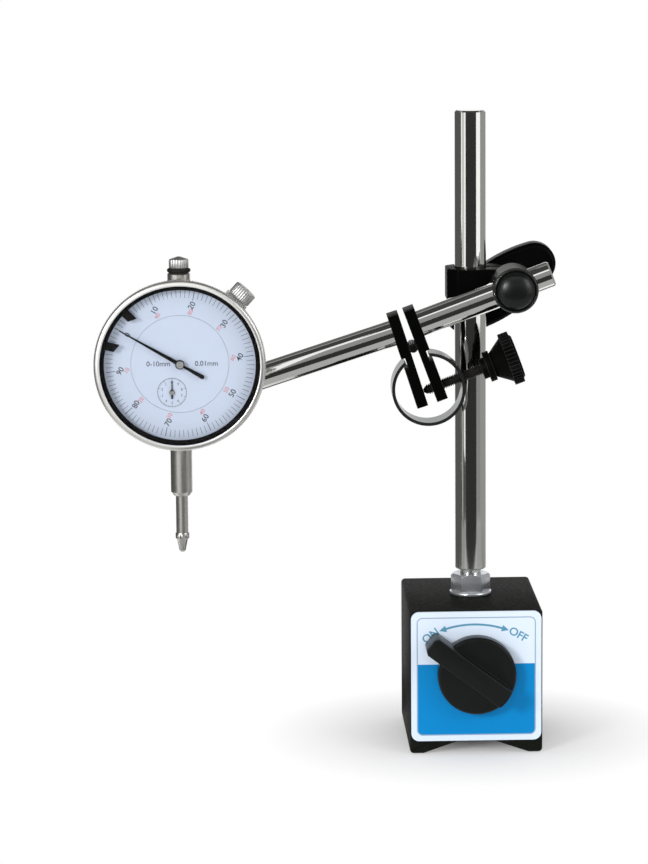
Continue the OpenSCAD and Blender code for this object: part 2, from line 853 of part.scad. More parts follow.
module sleeve_cap() {
    rim_r = sleeve_d / 2 - 0.4;
    dome_r = rim_r - 0.9;
    rim_front = sleeve_front - cap_rim_t;
    groove_back = rim_front + 0.6;
    color("#131314") clamp_frame() {
        ycyl(sleeve_bore_r - fit_gap, sleeve_front, sleeve_front + cap_plug);
        yturn([
            [0, sleeve_front], [rim_r, sleeve_front], [rim_r, rim_front + 0.3], [rim_r - 0.3, rim_front],
            [dome_r + 0.35, rim_front], [dome_r + 0.05, groove_back],
            for (a = [0:10:90]) [dome_r * cos(a), groove_back - (dome_h + 0.6) * sin(a)]
        ]);
    }
}

module clamp_handle() {
    small_l = handle_l - 2 * handle_chamfer;
    small_w = handle_w - 2 * handle_chamfer;
    small_r = handle_end_r - handle_chamfer;
    color("#161617") clamp_frame() difference() {
        union() {
            ycyl(hub_d / 2, hub_front, handle_front + handle_chamfer);
            rotate([0, -handle_angle, 0]) translate([-handle_offset, 0, -handle_drop]) hull() {
                yprism(handle_front + handle_chamfer, handle_back - handle_chamfer)
                    oval(handle_l, handle_w, handle_end_r);
                yprism(handle_front, handle_back) oval(small_l, small_w, small_r);
            }
        }
        ycyl(bolt_d / 2 + run_gap, hub_front - 1, handle_back - handle_skin);
    }
}

// Arm and fine adjuster
module rear_arm() {
    color("#d7dadc") rear_frame() {
        xcyl(spigot_d / 2, rear_plate_near, rear_plate_far);
        xcyl(arm_r, rear_plate_far, rear_tail - arm_chamfer);
        translate([rear_tail - arm_chamfer, 0, 0]) rotate([0, 90, 0])
            cylinder(r1 = arm_r, r2 = arm_r - arm_chamfer, h = arm_chamfer);
    }
}

// An adjuster plate between x0 and x1; rod_z is the height of the rod axis, outer its outer face
module adjuster_plate(x0, x1, rod_z, outer) {
    notch_x = outer < (x0 + x1) / 2 ? x0 + notch_d : x1 - notch_d;
    difference() {
        translate([x0, -plate_d / 2, rod_z - plate_down]) cube([x1 - x0, plate_d, plate_up + plate_down]);
        translate([0, 0, rod_z]) xcyl(spigot_d / 2 + fit_gap, x0 - 1, x1 + 1);
        translate([
            outer < notch_x ? notch_x - plate_t : notch_x, -plate_d, rod_z - notch_drop - notch_l
        ]) cube([plate_t, 2 * plate_d, notch_l]);
        children();
    }
}

module rear_plate() {
    color("#1b1b1c") rear_frame() adjuster_plate(rear_plate_near, rear_plate_far, 0, rear_plate_far) {
        translate([-adjuster_reach, 0, -roller_drop]) ycyl(roller_d / 2 + fit_gap, -plate_d, plate_d);
        translate([0, 0, -screw_drop]) xcyl(screw_d / 2 + run_gap, rear_plate_near - 1, rear_plate_far + 1);
    }
}

module front_plate() {
    color("#1b1b1c") front_frame()
        adjuster_plate(front_plate_far, front_plate_near, roller_drop, front_plate_far)
            ycyl(roller_fit_r, -plate_d, plate_d);
}

module pivot_roller() {
    color("#202022") rear_frame() translate([-adjuster_reach, 0, -roller_drop])
        ycyl(roller_d / 2, -plate_d / 2, plate_d / 2);
}

module spring_ring() {
    color("#c9cdd0") rear_frame() difference() {
        translate([-adjuster_reach, plate_d / 2, -ring_drop])
            rotate([90, 0, 0])
            rotate([0, 0, 90 + ring_open])
            rotate_extrude(angle = 360 - 2 * ring_open)
            translate([ring_d / 2 - ring_wall, 0]) square([ring_wall, plate_d]);
        translate([-adjuster_reach, 0, -screw_drop]) xcyl(screw_d / 2 + 2 * free_gap, 0, ring_d);
    }
}

module adjuster_screw() {
    color("#232325") rear_frame() translate([0, 0, -screw_drop]) {
        translate([screw_tip, 0, 0]) rotate([0, 90, 0])
            cylinder(r1 = screw_d / 2 - tip_chamfer, r2 = screw_d / 2, h = tip_chamfer);
        xcyl(screw_d / 2, screw_tip + tip_chamfer, cone_end);
    }
}

module adjuster_knob() {
    end_r = rim_d / 2 - rib_d - rim_chamfer / 2 - 0.2;
    color("#141415") rear_frame() translate([0, 0, -screw_drop]) difference() {
        union() {
            xcyl(neck_d / 2, adjuster_start, neck_end);
            xcyl(collar_d / 2, neck_end, collar_end);
            translate([collar_end, 0, 0]) rotate([0, 90, 0])
                cylinder(r1 = neck_d / 2 + 0.6, r2 = rim_d / 2 - 1.4, h = cone_l);
            translate([cone_end, 0, 0]) rotate([0, 90, 0]) linear_extrude(rim_t - rim_chamfer) polygon([
                for (k = [0:2 * rim_ribs - 1])
                    let (r = rim_d / 2 - (k % 2) * rib_d, a = 180 * k / rim_ribs)
                    [r * cos(a), r * sin(a)]
            ]);
            translate([rim_end - 2 * rim_chamfer, 0, 0]) rotate([0, 90, 0])
                cylinder(r1 = end_r + rim_chamfer, r2 = end_r - rim_chamfer, h = 2 * rim_chamfer);
        }
        xcyl(screw_d / 2 + fit_gap, adjuster_start - 1, cone_end);
    }
}

module front_arm() {
    rod_end = -front_reach + tongue_l;
    color("#d7dadc") front_frame() translate([0, 0, roller_drop]) difference() {
        union() {
            xcyl(spigot_d / 2, front_plate_far, front_plate_near);
            xcyl(arm_r, rod_end, front_plate_far);
            translate([-front_reach, -tongue_t / 2, -arm_r]) cube([tongue_l, tongue_t, arm_d]);
            translate([-front_reach, 0, 0]) ycyl(arm_r, -tongue_t / 2, tongue_t / 2);
        }
        translate([-front_reach, 0, 0]) ycyl(swivel_d / 2 + run_gap, -arm_d, arm_d);
    }
}

// Indicator holder
module swivel_link() {
    color("#b9bdc0") link_frame() difference() {
        union() {
            for (side = [-1, 1]) {
                y0 = side < 0 ? -ear_out_y : ear_in_y;
                x0 = side < 0 ? -ear_out_x : ear_in_x;
                ycyl(arm_r, y0, y0 + ear_t);
                translate([-arm_r, y0, 0]) cube([arm_d, ear_t, link_high]);
                translate([0, 0, link_l]) xcyl(lug_r - 0.2, x0, x0 + ear_t);
                translate([x0, -lug_r + 0.2, link_edge]) cube([ear_t, 2 * lug_r - 0.4, link_l - link_edge]);
            }
            yprism(-ear_out_y, ear_out_y) polygon([
                [-ear_out_x, link_high], [-ear_out_x, link_edge], [0, link_low], [ear_out_x, link_edge],
                [ear_out_x, link_high]
            ]);
        }
        ycyl(swivel_d / 2 + fit_gap, -2 * ear_out_y, 2 * ear_out_y);
        translate([0, 0, link_l]) xcyl(tilt_d / 2 + fit_gap, -2 * ear_out_x, 2 * ear_out_x);
    }
}

module swivel_bolt() {
    color("#a9adb0") link_frame() {
        ycyl(head_d / 2, -ear_out_y - head_h, -ear_out_y);
        ycyl(swivel_d / 2, -ear_out_y, ear_out_y + thumb_h + 0.8);
    }
}

module swivel_nut() {
    color("#26262a") link_frame() translate([0, ear_out_y, 0]) thumb_nut(swivel_d / 2 + fit_gap, thumb_h);
}

module tilt_bolt() {
    color("#a9adb0") link_frame() translate([0, 0, link_l]) {
        xcyl(head_d / 2, ear_out_x, ear_out_x + head_h);
        xcyl(tilt_d / 2, -ear_out_x - thumb_h - 0.8, ear_out_x);
    }
}

module tilt_nut() {
    color("#26262a") link_frame() translate([-ear_out_x, 0, link_l]) rotate([0, 0, 90])
        thumb_nut(tilt_d / 2 + fit_gap, thumb_h);
}

// Indicator case
module cover_screw_ring() {
    for (k = [0:3]) dial_turn(45 + 90 * k) translate([0, 0, boss_place_r]) children();
}

module plate_screw_ring() {
    for (k = [0:2]) dial_turn(90 + 120 * k) translate([0, 0, plate_screw_r]) children();
}

module case() {
    boss_out = skirt_r + free_gap;
    boss_root = case_r - case_wall / 2;
    boss_w = clamp_head_d;
    color("#c9cdd0") dial_frame() difference() {
        union() {
            yturn([
                [seat_r, case_front], [case_r, case_front], [case_r, case_rear], [case_in_r, case_rear],
                [case_in_r, plate_back + flange_t], [flange_r, plate_back + flange_t],
                [flange_r, plate_back], [seat_r, plate_back]
            ]);
            cover_screw_ring() ycyl(boss_r, plate_back + flange_t / 2, case_rear);
            dial_turn(clamp_screw_angle) {
                translate([-boss_w / 2, clamp_boss_front, boss_out])
                    cube([boss_w, clamp_boss_back - clamp_boss_front, clamp_boss_top - boss_out]);
                translate([-boss_w / 2, skirt_back + free_gap, boss_root])
                    cube([boss_w, clamp_boss_back - skirt_back - free_gap, clamp_boss_top - boss_root]);
            }
        }
        cover_screw_ring() ycyl(cover_pin_r + fit_gap, case_rear - cover_pin_l - 1, case_rear + 1);
        plate_screw_ring() ycyl(0.7 + fit_gap, plate_back - 1, plate_back + flange_t + 1);
        translate([0, spindle_y, 0]) {
            zcyl(stem_seat_d / 2 + fit_gap, -case_d, -flange_r);
            zcyl(bush_d / 2 + fit_gap, flange_r, case_d);
        }
        dial_turn(clamp_screw_angle) translate([0, clamp_screw_y, 0])
            zcyl(clamp_screw_d / 2 + run_gap, skirt_r, bezel_d);
    }
}

module stem() {
    stem_low = -(case_r + stem_l);
    seat_low = -(case_r + stem_seat_l);
    seat_top = 1 - case_in_r;
    color("#c3c7ca") spindle_frame() difference() {
        rotate_extrude() polygon([
            [0, stem_low], [stem_d / 2 - 1, stem_low], [stem_d / 2, stem_low + 1.4],
            [stem_d / 2, seat_low], [stem_seat_d / 2, seat_low], [stem_seat_d / 2, seat_top], [0, seat_top]
        ]);
        zcyl(spindle_d / 2 + run_gap, stem_low - 1, 0);
    }
}

module top_bush() {
    color("#c3c7ca") spindle_frame() difference() {
        rotate_extrude() polygon([
            [0, bush_low], [bush_d / 2, bush_low], [bush_d / 2, bush_top - 0.5], [bush_d / 2 - 0.5, bush_top],
            [0, bush_top]
        ]);
        zcyl(upper_d / 2 + run_gap, bush_low - 1, bush_top + 1);
    }
}

module back_cover() {
    color("#9fa4a8") dial_frame() difference() {
        union() {
            yturn([
                [0, case_rear], [case_r, case_rear], [case_r, -0.6], [case_r - 0.6, 0], [0, 0]
            ]);
            translate([-lug_t / 2, -0.5, -lug_r]) cube([lug_t, lug_reach + 0.5, 2 * lug_r]);
            translate([0, lug_reach, 0]) xcyl(lug_r, -lug_t / 2, lug_t / 2);
        }
        translate([0, lug_reach, 0]) xcyl(tilt_d / 2 + run_gap, -lug_t, lug_t);
        cover_screw_ring() ycyl(cover_pin_r + free_gap, case_rear - 1, 1);
    }
}

module back_cover_screws() {
    color("#8b8f93") dial_frame() cover_screw_ring() {
        ycyl(cover_pin_r, case_rear - cover_pin_l, 0);
        ycyl(2 * cover_pin_r, 0, cover_pin_head);
    }
}

module bezel_screw() {
    head_low = clamp_boss_top + free_gap;
    color("#c9cdd0") dial_frame() dial_turn(clamp_screw_angle) translate([0, clamp_screw_y, 0]) {
        zcyl(clamp_screw_d / 2, skirt_r + 0.1, head_low);
        rotate_extrude() polygon([
            [0, head_low], [clamp_head_d / 2, head_low], [clamp_head_d / 2, head_low + clamp_head_h - 0.5],
            [clamp_head_d / 2 - 0.5, head_low + clamp_head_h], [0, head_low + clamp_head_h]
        ]);
    }
}

// Dial
module bezel() {
    bore_r = case_r + run_gap;
    color("#d0d4d6") dial_frame() yturn([
        [pocket_r - bezel_lip, bezel_front], [bezel_r - 0.9, bezel_front], [bezel_r, bezel_front + 0.9],
        [bezel_r, bezel_front + bezel_grip], [bezel_r - bezel_taper, bezel_front + bezel_grip + 0.5],
        [bezel_r - bezel_taper, rim_back], [skirt_r, rim_back], [skirt_r, skirt_back],
        [bore_r, skirt_back], [bore_r, scale_back], [pocket_r, scale_back], [pocket_r, crystal_front],
        [pocket_r - bezel_lip, crystal_front]
    ]);
}

module crystal() {
    color("#dfeaf0", 0.35) dial_frame() ycyl(pocket_r - fit_gap, crystal_front, crystal_back);
}

module crystal_ring() {
    groove_front = tab_front - 0.1;
    groove_back = tab_front + tab_t + 0.1;
    out_r = pocket_r - fit_gap;
    lip_r = tab_groove_r - 0.45;
    color("#101011") dial_frame() yturn([
        [ring_in_r, crystal_back], [out_r, crystal_back], [out_r, scale_front], [lip_r, scale_front],
        [lip_r, groove_back], [tab_groove_r, groove_back], [tab_groove_r, groove_front],
        [ring_in_r, groove_front]
    ]);
}

module limit_tab(a) {
    foot_r = tab_groove_r - 0.1;
    tip_step = tab_w / 2;
    color("#101011") dial_frame() dial_turn(a) yprism(tab_front, tab_front + tab_t) {
        intersection() {
            circle(foot_r);
            translate([-tab_w, 0]) square([2 * tab_w, case_d]);
            difference() {
                circle(case_d);
                circle(ring_in_r + 0.15);
            }
        }
        polygon([
            [-tab_w / 2, ring_in_r + 0.3], [-tab_w / 2, tab_r + tip_step], [tab_w / 2, tab_r],
            [tab_w / 2, ring_in_r + 0.3]
        ]);
    }
}

module limit_tab_high() {
    limit_tab(pointer_angle + tab_angle);
}

module limit_tab_low() {
    limit_tab(pointer_angle - tab_angle);
}

module scale_ring() {
    color("#eef3f8") dial_frame()
        ytube(pocket_r - fit_gap, centre_d / 2 + run_gap * 2, scale_front, scale_back);
}

module centre_face() {
    color("#eef3f8") difference() {
        dial_frame() ycyl(centre_d / 2, scale_front, scale_back);
        dial_frame() ycyl(1.2, scale_front - 1, scale_back + 1);
        rack_arbor_frame() ycyl(1, scale_front - 1, scale_back + 1);
    }
}

module main_pointer() {
    tail_r = 0.8;
    color("#151516") dial_frame() dial_turn(pointer_angle) difference() {
        union() {
            yprism(pointer_back - pointer_t, pointer_back) polygon([
                [-0.75, 0], [-0.16, pointer_l], [0.16, pointer_l], [0.75, 0], [0.42, -1],
                for (a = [0:15:180]) [tail_r * cos(a), tail_r - pointer_tail - tail_r * sin(a)],
                [-0.42, -1]
            ]);
            ycyl(pointer_hub_d / 2, pointer_back - pointer_t - 0.5, pointer_back + 0.3);
        }
        ycyl(0.6 + fit_gap, pointer_back - pointer_t - 0.1, pointer_back + 1);
    }
}

module small_pointer() {
    color("#151516") rack_arbor_frame() difference() {
        union() {
            yprism(small_pointer_back - small_pointer_t, small_pointer_back) polygon([
                [-0.35, -small_pointer_l / 2], [-0.1, small_pointer_l], [0.1, small_pointer_l],
                [0.35, -small_pointer_l / 2]
            ]);
            ycyl(0.8, small_pointer_back - small_pointer_t - 0.2, small_pointer_back + 0.1);
        }
        ycyl(pivot_r + fit_gap, small_pointer_back - small_pointer_t, small_pointer_back + 1);
    }
}

// Movement
module centre_pinion() {
    color("#c9a75b") dial_frame() {
        ycyl(0.6, pointer_back - pointer_t - 0.1, plate_back);
        ycyl(centre_r * 0.7, plate_back + 0.1, wheel_back + 0.4);
        yprism(wheel_front - 0.2, wheel_back + 0.2) rotate(180 + mesh_angle + 180 / centre_teeth)
            gear(centre_teeth);
        ycyl(0.6, plate_back, plate_back + 0.2);
        ycyl(pivot_r, wheel_back + 0.4, bridge_back);
    }
}

module wheel(tooth_angle) {
    yprism(wheel_front, wheel_back) difference() {
        rotate(tooth_angle) gear(wheel_teeth);
        for (k = [0:3]) rotate(45 + 90 * k) translate([wheel_r * 0.56, 0]) circle(wheel_r * 0.24);
    }
}

module rack_wheel() {
    color("#c9a75b") rack_arbor_frame() {
        ycyl(pivot_r, small_pointer_back - small_pointer_t, wheel_front);
        wheel(mesh_angle);
        ycyl(arbor_r, wheel_back, cock_front - 0.4);
        yprism(spindle_y - spindle_d / 2 + 0.6, spindle_y + spindle_d / 2 - 0.6)
            rotate(180 / rack_pinion_teeth) gear(rack_pinion_teeth);
        ycyl(pivot_r, cock_front - 0.4, cock_front + cock_t);
    }
}

module hairspring_wheel() {
    color("#c9a75b") hair_arbor_frame() {
        ycyl(pivot_r, plate_front + 0.2, plate_back + 0.1);
        ycyl(arbor_r, plate_back + 0.1, wheel_front);
        wheel(180 + mesh_angle);
        ycyl(arbor_r, wheel_back, bridge_front - 0.1);
        ycyl(pivot_r, bridge_front - 0.1, bridge_back);
    }
}

module hairspring() {
    collet_r = arbor_r + 0.7;
    out_r = wheel_r * 0.78;
    strip = 0.15;
    steps = hair_turns * 360 / spiral_step;
    hair_front = plate_back + 0.2;
    hair_back = wheel_front - 0.2;
    color("#4c5f86") hair_arbor_frame() {
        ytube(collet_r, arbor_r + 2 * run_gap, hair_front, hair_back);
        yprism(hair_front, hair_back) polygon([
            for (k = [0:steps]) spiral_point(k, collet_r - 0.1 + (out_r - collet_r) * k / steps),
            for (k = [steps:-1:0]) spiral_point(k, collet_r - 0.1 + strip + (out_r - collet_r) * k / steps)
        ]);
        translate([out_r - 0.5, plate_back, -0.5]) cube([1, hair_back - plate_back, 1]);
    }
}

module pillar_ring() {
    for (place = pillar_places) translate([place.x, 0, place.y]) children();
}

module movement_plate() {
    color("#b5954a") difference() {
        dial_frame() {
            ycyl(seat_r - 0.1, plate_front, plate_back);
            ycyl(centre_d / 2 - 0.5, scale_back, plate_front);
            pillar_ring() ycyl(pillar_r, plate_back, bridge_front);
        }
        dial_frame() {
            ycyl(0.6 + run_gap, scale_back - 1, plate_back + 1);
            pillar_ring() ycyl(0.7 + fit_gap, bridge_front - 1.4, bridge_front + 1);
            plate_screw_ring() {
                ycyl(0.7 + fit_gap, plate_front - 1, plate_back + 1);
                ycyl(1.2 + fit_gap, plate_front - 1, plate_front + 0.6);
            }
        }
        rack_arbor_frame() ycyl(pivot_r + run_gap, scale_back - 1, plate_back + 1);
        hair_arbor_frame() ycyl(pivot_r + run_gap, plate_front + 0.1, plate_back + 1);
    }
}

module movement_bridge() {
    rail_low = guide_z - rail_end;
    rail_high = guide_z + travel + rail_end;
    slot_half = guide_pin_d / 2 + run_gap;
    color("#b5954a") difference() {
        dial_frame() {
            ycyl(bridge_d / 2, bridge_front, bridge_back);
            difference() {
                translate([guide_x, bridge_back, rail_low])
                    cube([guide_t, spindle_y + slot_half + 1 - bridge_back, rail_high - rail_low]);
                translate([guide_x - 1, spindle_y - slot_half, rail_low + 0.9])
                    cube([guide_t + 2, 2 * slot_half, rail_high - rail_low - 1.8]);
            }
        }
        dial_frame() {
            ycyl(pivot_r + run_gap, bridge_front - 1, bridge_back + 1);
            pillar_ring() ycyl(0.7 + fit_gap, bridge_front - 1, bridge_back + 1);
        }
        rack_arbor_frame() ycyl(rack_pinion_r + 0.6, bridge_front - 1, bridge_back + 1);
        hair_arbor_frame() ycyl(pivot_r + run_gap, bridge_front - 1, bridge_back + 1);
    }
}

module pinion_cock() {
    foot_r = 2;
    color("#b5954a") rack_arbor_frame() difference() {
        union() {
            yprism(cock_front, cock_front + cock_t) {
                translate([-cock_l, -foot_r]) square([cock_l, 2 * foot_r]);
                circle(foot_r);
            }
            translate([-cock_l + foot_r, 0, 0]) ycyl(foot_r, bridge_back, cock_front + cock_t);
        }
        ycyl(pivot_r + run_gap, cock_front - 1, cock_front + cock_t + 1);
    }
}

module movement_screws() {
    color("#8b8f93") dial_frame() {
        pillar_ring() {
            ycyl(0.7, bridge_front - 1.3, bridge_back);
            ycyl(1.3, bridge_back, bridge_back + 0.8);
        }
        plate_screw_ring() {
            ycyl(0.7, plate_front, plate_back + flange_t);
            ycyl(1.2, plate_front, plate_front + 0.6);
        }
    }
}

// Spindle
module rack_cut() {
    rack_top = small_dial_z + rack_pitch * floor(rack_spare / rack_pitch);
    far_x = -spindle_d;
    points = [for (k = [rack_tooth_count:-1:0]) each rack_tooth(rack_top - k * rack_pitch)];
    low = points[0];
    high = points[len(points) - 1];
    polygon(concat([[far_x, low.y]], points, [[far_x, high.y]]));
}

module spindle() {
    point_r = point_d / 4;
    color("#c3c7ca") spindle_frame() difference() {
        union() {
            zcyl(spindle_d / 2, spindle_low, step_low);
            zcyl(step_r, step_low, step_top);
            zcyl(upper_d / 2, step_top, upper_top);
        }
        yprism(-spindle_d, spindle_d) rack_cut();
        translate([0, 0, guide_z]) xcyl(guide_pin_d / 2 + fit_gap, -spindle_d / 4, spindle_d);
        zcyl(point_r + fit_gap, spindle_low - 1, spindle_low + 4);
    }
}

module guide_pin() {
    color("#8b8f93") spindle_frame() translate([0, 0, guide_z])
        xcyl(guide_pin_d / 2, -spindle_d / 4, guide_x + guide_t + 0.4);
}

module contact_point() {
    collar_low = spindle_low - 2;
    ball_r = 1.3;
    color("#b4b8bb") spindle_frame() {
        zcyl(point_d / 4, spindle_low, spindle_low + 3.8);
        rotate_extrude() polygon([
            [0, spindle_low], [point_d / 2, spindle_low], [point_d / 2, collar_low],
            [point_d / 2 - 0.5, collar_low - 0.5], [ball_r, spindle_low - point_l + ball_r],
            for (a = [15:15:90]) [ball_r * cos(a), spindle_low - point_l + ball_r - ball_r * sin(a)]
        ]);
    }
}

module spindle_cap() {
    plug_r = o_ring_d / 2 - o_ring_t;
    color("#c9cdd0") spindle_frame() difference() {
        union() {
            zcyl(plug_r - fit_gap, o_ring_low + 0.2, cap_low);
            rotate_extrude() polygon([
                [0, cap_low], [cap_d / 2, cap_low], [cap_d / 2, cap_top - 1.2], [cap_d / 2 - 0.3, cap_top - 0.9],
                [0.6, cap_top], [0, cap_top]
            ]);
        }
        zcyl(upper_d / 2 + fit_gap, o_ring_low - 1, upper_top);
    }
}

module cap_o_ring() {
    color("#111112") spindle_frame() translate([0, 0, o_ring_low + o_ring_t / 2])
        rotate_extrude() translate([o_ring_d / 2 - o_ring_t / 2, 0]) circle(o_ring_t / 2);
}

module return_spring() {
    rings = spring_rings * spring_turns;
    last = rings * spring_sides;
    color("#9a9ea2") spindle_frame() polyhedron(
        points = [for (ring = [0:rings], side = [0:spring_sides - 1]) spring_point(ring, side)],
        faces = [
            for (side = [1:spring_sides - 2]) [0, side + 1, side],
            for (ring = [0:rings - 1], side = [0:spring_sides - 1])
                let (a = ring * spring_sides + side)
                let (b = ring * spring_sides + (side + 1) % spring_sides)
                each [[a, b, b + spring_sides], [a, b + spring_sides, a + spring_sides]],
            for (side = [1:spring_sides - 2]) [last, last + side, last + side + 1]
        ]
    );
}

pole_blocks();
pole_spacers();
front_bush();
label_plate();
rear_cover();
cover_screws();
rotor_magnet();
rotor_poles();
rotor_shaft();
base_knob();
column_washer();
column_nut();
column();
clamp_block();
eye_bolt();
clamp_sleeve();
sleeve_cap();
clamp_handle();
rear_arm();
rear_plate();
pivot_roller();
spring_ring();
adjuster_screw();
adjuster_knob();
front_plate();
front_arm();
swivel_link();
swivel_bolt();
swivel_nut();
tilt_bolt();
tilt_nut();
case();
stem();
top_bush();
back_cover();
back_cover_screws();
bezel_screw();
bezel();
crystal();
crystal_ring();
limit_tab_high();
limit_tab_low();
scale_ring();
centre_face();
main_pointer();
small_pointer();
centre_pinion();
rack_wheel();
hairspring_wheel();
hairspring();
movement_plate();
movement_bridge();
pinion_cock();
movement_screws();
spindle();
guide_pin();
contact_point();
spindle_cap();
cap_o_ring();
return_spring();
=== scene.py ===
"""Looks of a dial indicator that stands on a switchable magnetic base.

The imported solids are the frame. The pieces added here are the printed scales and label, the
knurled and threaded surfaces and the eased edges, and every solid gets its finish. Sizes are in
millimetres and angles in degrees. The studio's places are in metres and its camera's angles in
radians.
"""

from __future__ import annotations

import json
import logging
import math
from dataclasses import dataclass, field
from enum import Enum
from typing import Any, Callable, ClassVar, Iterable, Mapping, Sequence, Union

import bpy
from mathutils import Matrix, Vector

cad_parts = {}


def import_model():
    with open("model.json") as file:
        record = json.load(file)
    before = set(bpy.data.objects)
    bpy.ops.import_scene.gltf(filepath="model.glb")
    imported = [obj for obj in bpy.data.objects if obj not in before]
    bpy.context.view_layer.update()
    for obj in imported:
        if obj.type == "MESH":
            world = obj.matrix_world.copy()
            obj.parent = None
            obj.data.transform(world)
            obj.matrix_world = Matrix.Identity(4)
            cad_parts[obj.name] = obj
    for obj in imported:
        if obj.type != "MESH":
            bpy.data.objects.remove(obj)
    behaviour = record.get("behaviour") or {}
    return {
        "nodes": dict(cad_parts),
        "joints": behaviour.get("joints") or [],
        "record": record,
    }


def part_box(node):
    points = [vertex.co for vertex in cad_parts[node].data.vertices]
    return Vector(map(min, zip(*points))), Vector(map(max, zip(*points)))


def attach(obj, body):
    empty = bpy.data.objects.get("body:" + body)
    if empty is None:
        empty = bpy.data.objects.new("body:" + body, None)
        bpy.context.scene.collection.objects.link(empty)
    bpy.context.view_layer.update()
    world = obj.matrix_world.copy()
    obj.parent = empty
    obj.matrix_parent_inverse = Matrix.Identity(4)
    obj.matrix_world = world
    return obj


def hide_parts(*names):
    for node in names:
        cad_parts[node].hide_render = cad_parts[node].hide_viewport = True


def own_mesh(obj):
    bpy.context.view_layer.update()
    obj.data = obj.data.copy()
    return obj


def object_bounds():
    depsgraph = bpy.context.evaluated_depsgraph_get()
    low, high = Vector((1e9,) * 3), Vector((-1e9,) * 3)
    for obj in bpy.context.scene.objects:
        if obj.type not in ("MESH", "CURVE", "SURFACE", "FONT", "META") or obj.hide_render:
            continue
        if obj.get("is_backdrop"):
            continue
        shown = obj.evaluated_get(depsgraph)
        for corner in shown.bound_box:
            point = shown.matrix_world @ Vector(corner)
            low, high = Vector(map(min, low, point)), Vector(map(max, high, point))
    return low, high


LOG = logging.getLogger("dial_indicator")
MM = 0.001
WELD = 0.001
FRAME_WELD = 0.002
INK = 0.01
TYPE_INK = 0.008
TYPE_WELD = 1e-5
FLAT_ANGLE = 0.5
SHARP_ANGLE = 32.0
SMOOTH = 35.0
EASED_SMOOTH = 40.0
PRINT_SMOOTH = 10.0
UP = Vector((0, 0, 1))
RIGHT = Vector((1, 0, 0))
BACK = Vector((0, 1, 0))
FRONT = Vector((0, -1, 0))
Point = tuple[float, float]
Place = tuple[float, float, float]
Colour = tuple[float, float, float]
Solid = bpy.types.Object


def tint(*levels: int) -> Colour:
    """The linear colour of a screen colour's red, green and blue from 0 to 255."""
    shares = [level / 255 for level in levels]
    return tuple(s / 12.92 if s <= 0.04045 else ((s + 0.055) / 1.055) ** 2.4 for s in shares)


class Signal:
    """A number or colour on its way through a material's nodes."""

    def __init__(self, graph: Graph, socket: bpy.types.NodeSocket) -> None:
        """Wraps the output socket of a node of the graph."""
        self.graph = graph
        self.socket = socket

    def math(self, operation: str, first: Operand, second: Operand) -> Signal:
        """Adds one Math node and returns its result."""
        return self.graph.node("Math", {"operation": operation}, {0: first, 1: second})

    def __add__(self, other: Operand) -> Signal:
        """This plus other."""
        return self.math("ADD", self, other)

    def __sub__(self, other: Operand) -> Signal:
        """This less other."""
        return self.math("SUBTRACT", self, other)

    def __rsub__(self, other: Operand) -> Signal:
        """Other less this."""
        return self.math("SUBTRACT", other, self)

    def __mul__(self, other: Operand) -> Signal:
        """This times other."""
        return self.math("MULTIPLY", self, other)

    __radd__ = __add__
    __rmul__ = __mul__


Operand = Union[Signal, float, int]
Feed = Union[Signal, float, int, Sequence[float]]


class Graph:
    """A node tree and how nodes are added to it."""

    def __init__(self, tree: bpy.types.NodeTree) -> None:
        """Works on that tree."""
        self.tree = tree

    def feed(self, node: bpy.types.Node, inputs: Mapping[Any, Feed]) -> None:
        """Sets or links a node's input sockets.

        Args:
            node: The node to feed.
            inputs: Socket names or numbers, each with a value or a signal.
        """
        for key, value in inputs.items():
            if isinstance(value, Signal):
                self.tree.links.new(value.socket, node.inputs[key])
            else:
                node.inputs[key].default_value = value

    def node(self, kind: str, settings: Mapping[str, Any], inputs: Mapping[Any, Feed],
             out: Any = 0) -> Signal:
        """Adds a node.

        Args:
            kind: The node's type, without ShaderNode before it.
            settings: Its settings.
            inputs: Values or signals of its sockets.
            out: Name or number of the output that is wanted.

        Returns:
            That output as a signal.
        """
        made = self.tree.nodes.new("ShaderNode" + kind)
        for key, value in settings.items():
            setattr(made, key, value)
        self.feed(made, inputs)
        return Signal(self, made.outputs[out])

    def seen(self) -> Signal:
        """Tells the rays that show the background itself from those that it lights.

        Returns:
            1 for a direct ray, a reflection or a ray through glass.
        """
        camera, mirror, glass = (self.node("LightPath", {}, {}, f"Is {ray} Ray") for ray in (
            "Camera", "Glossy", "Transmission"))
        return camera.math("MAXIMUM", camera.math("MAXIMUM", camera, mirror), glass)


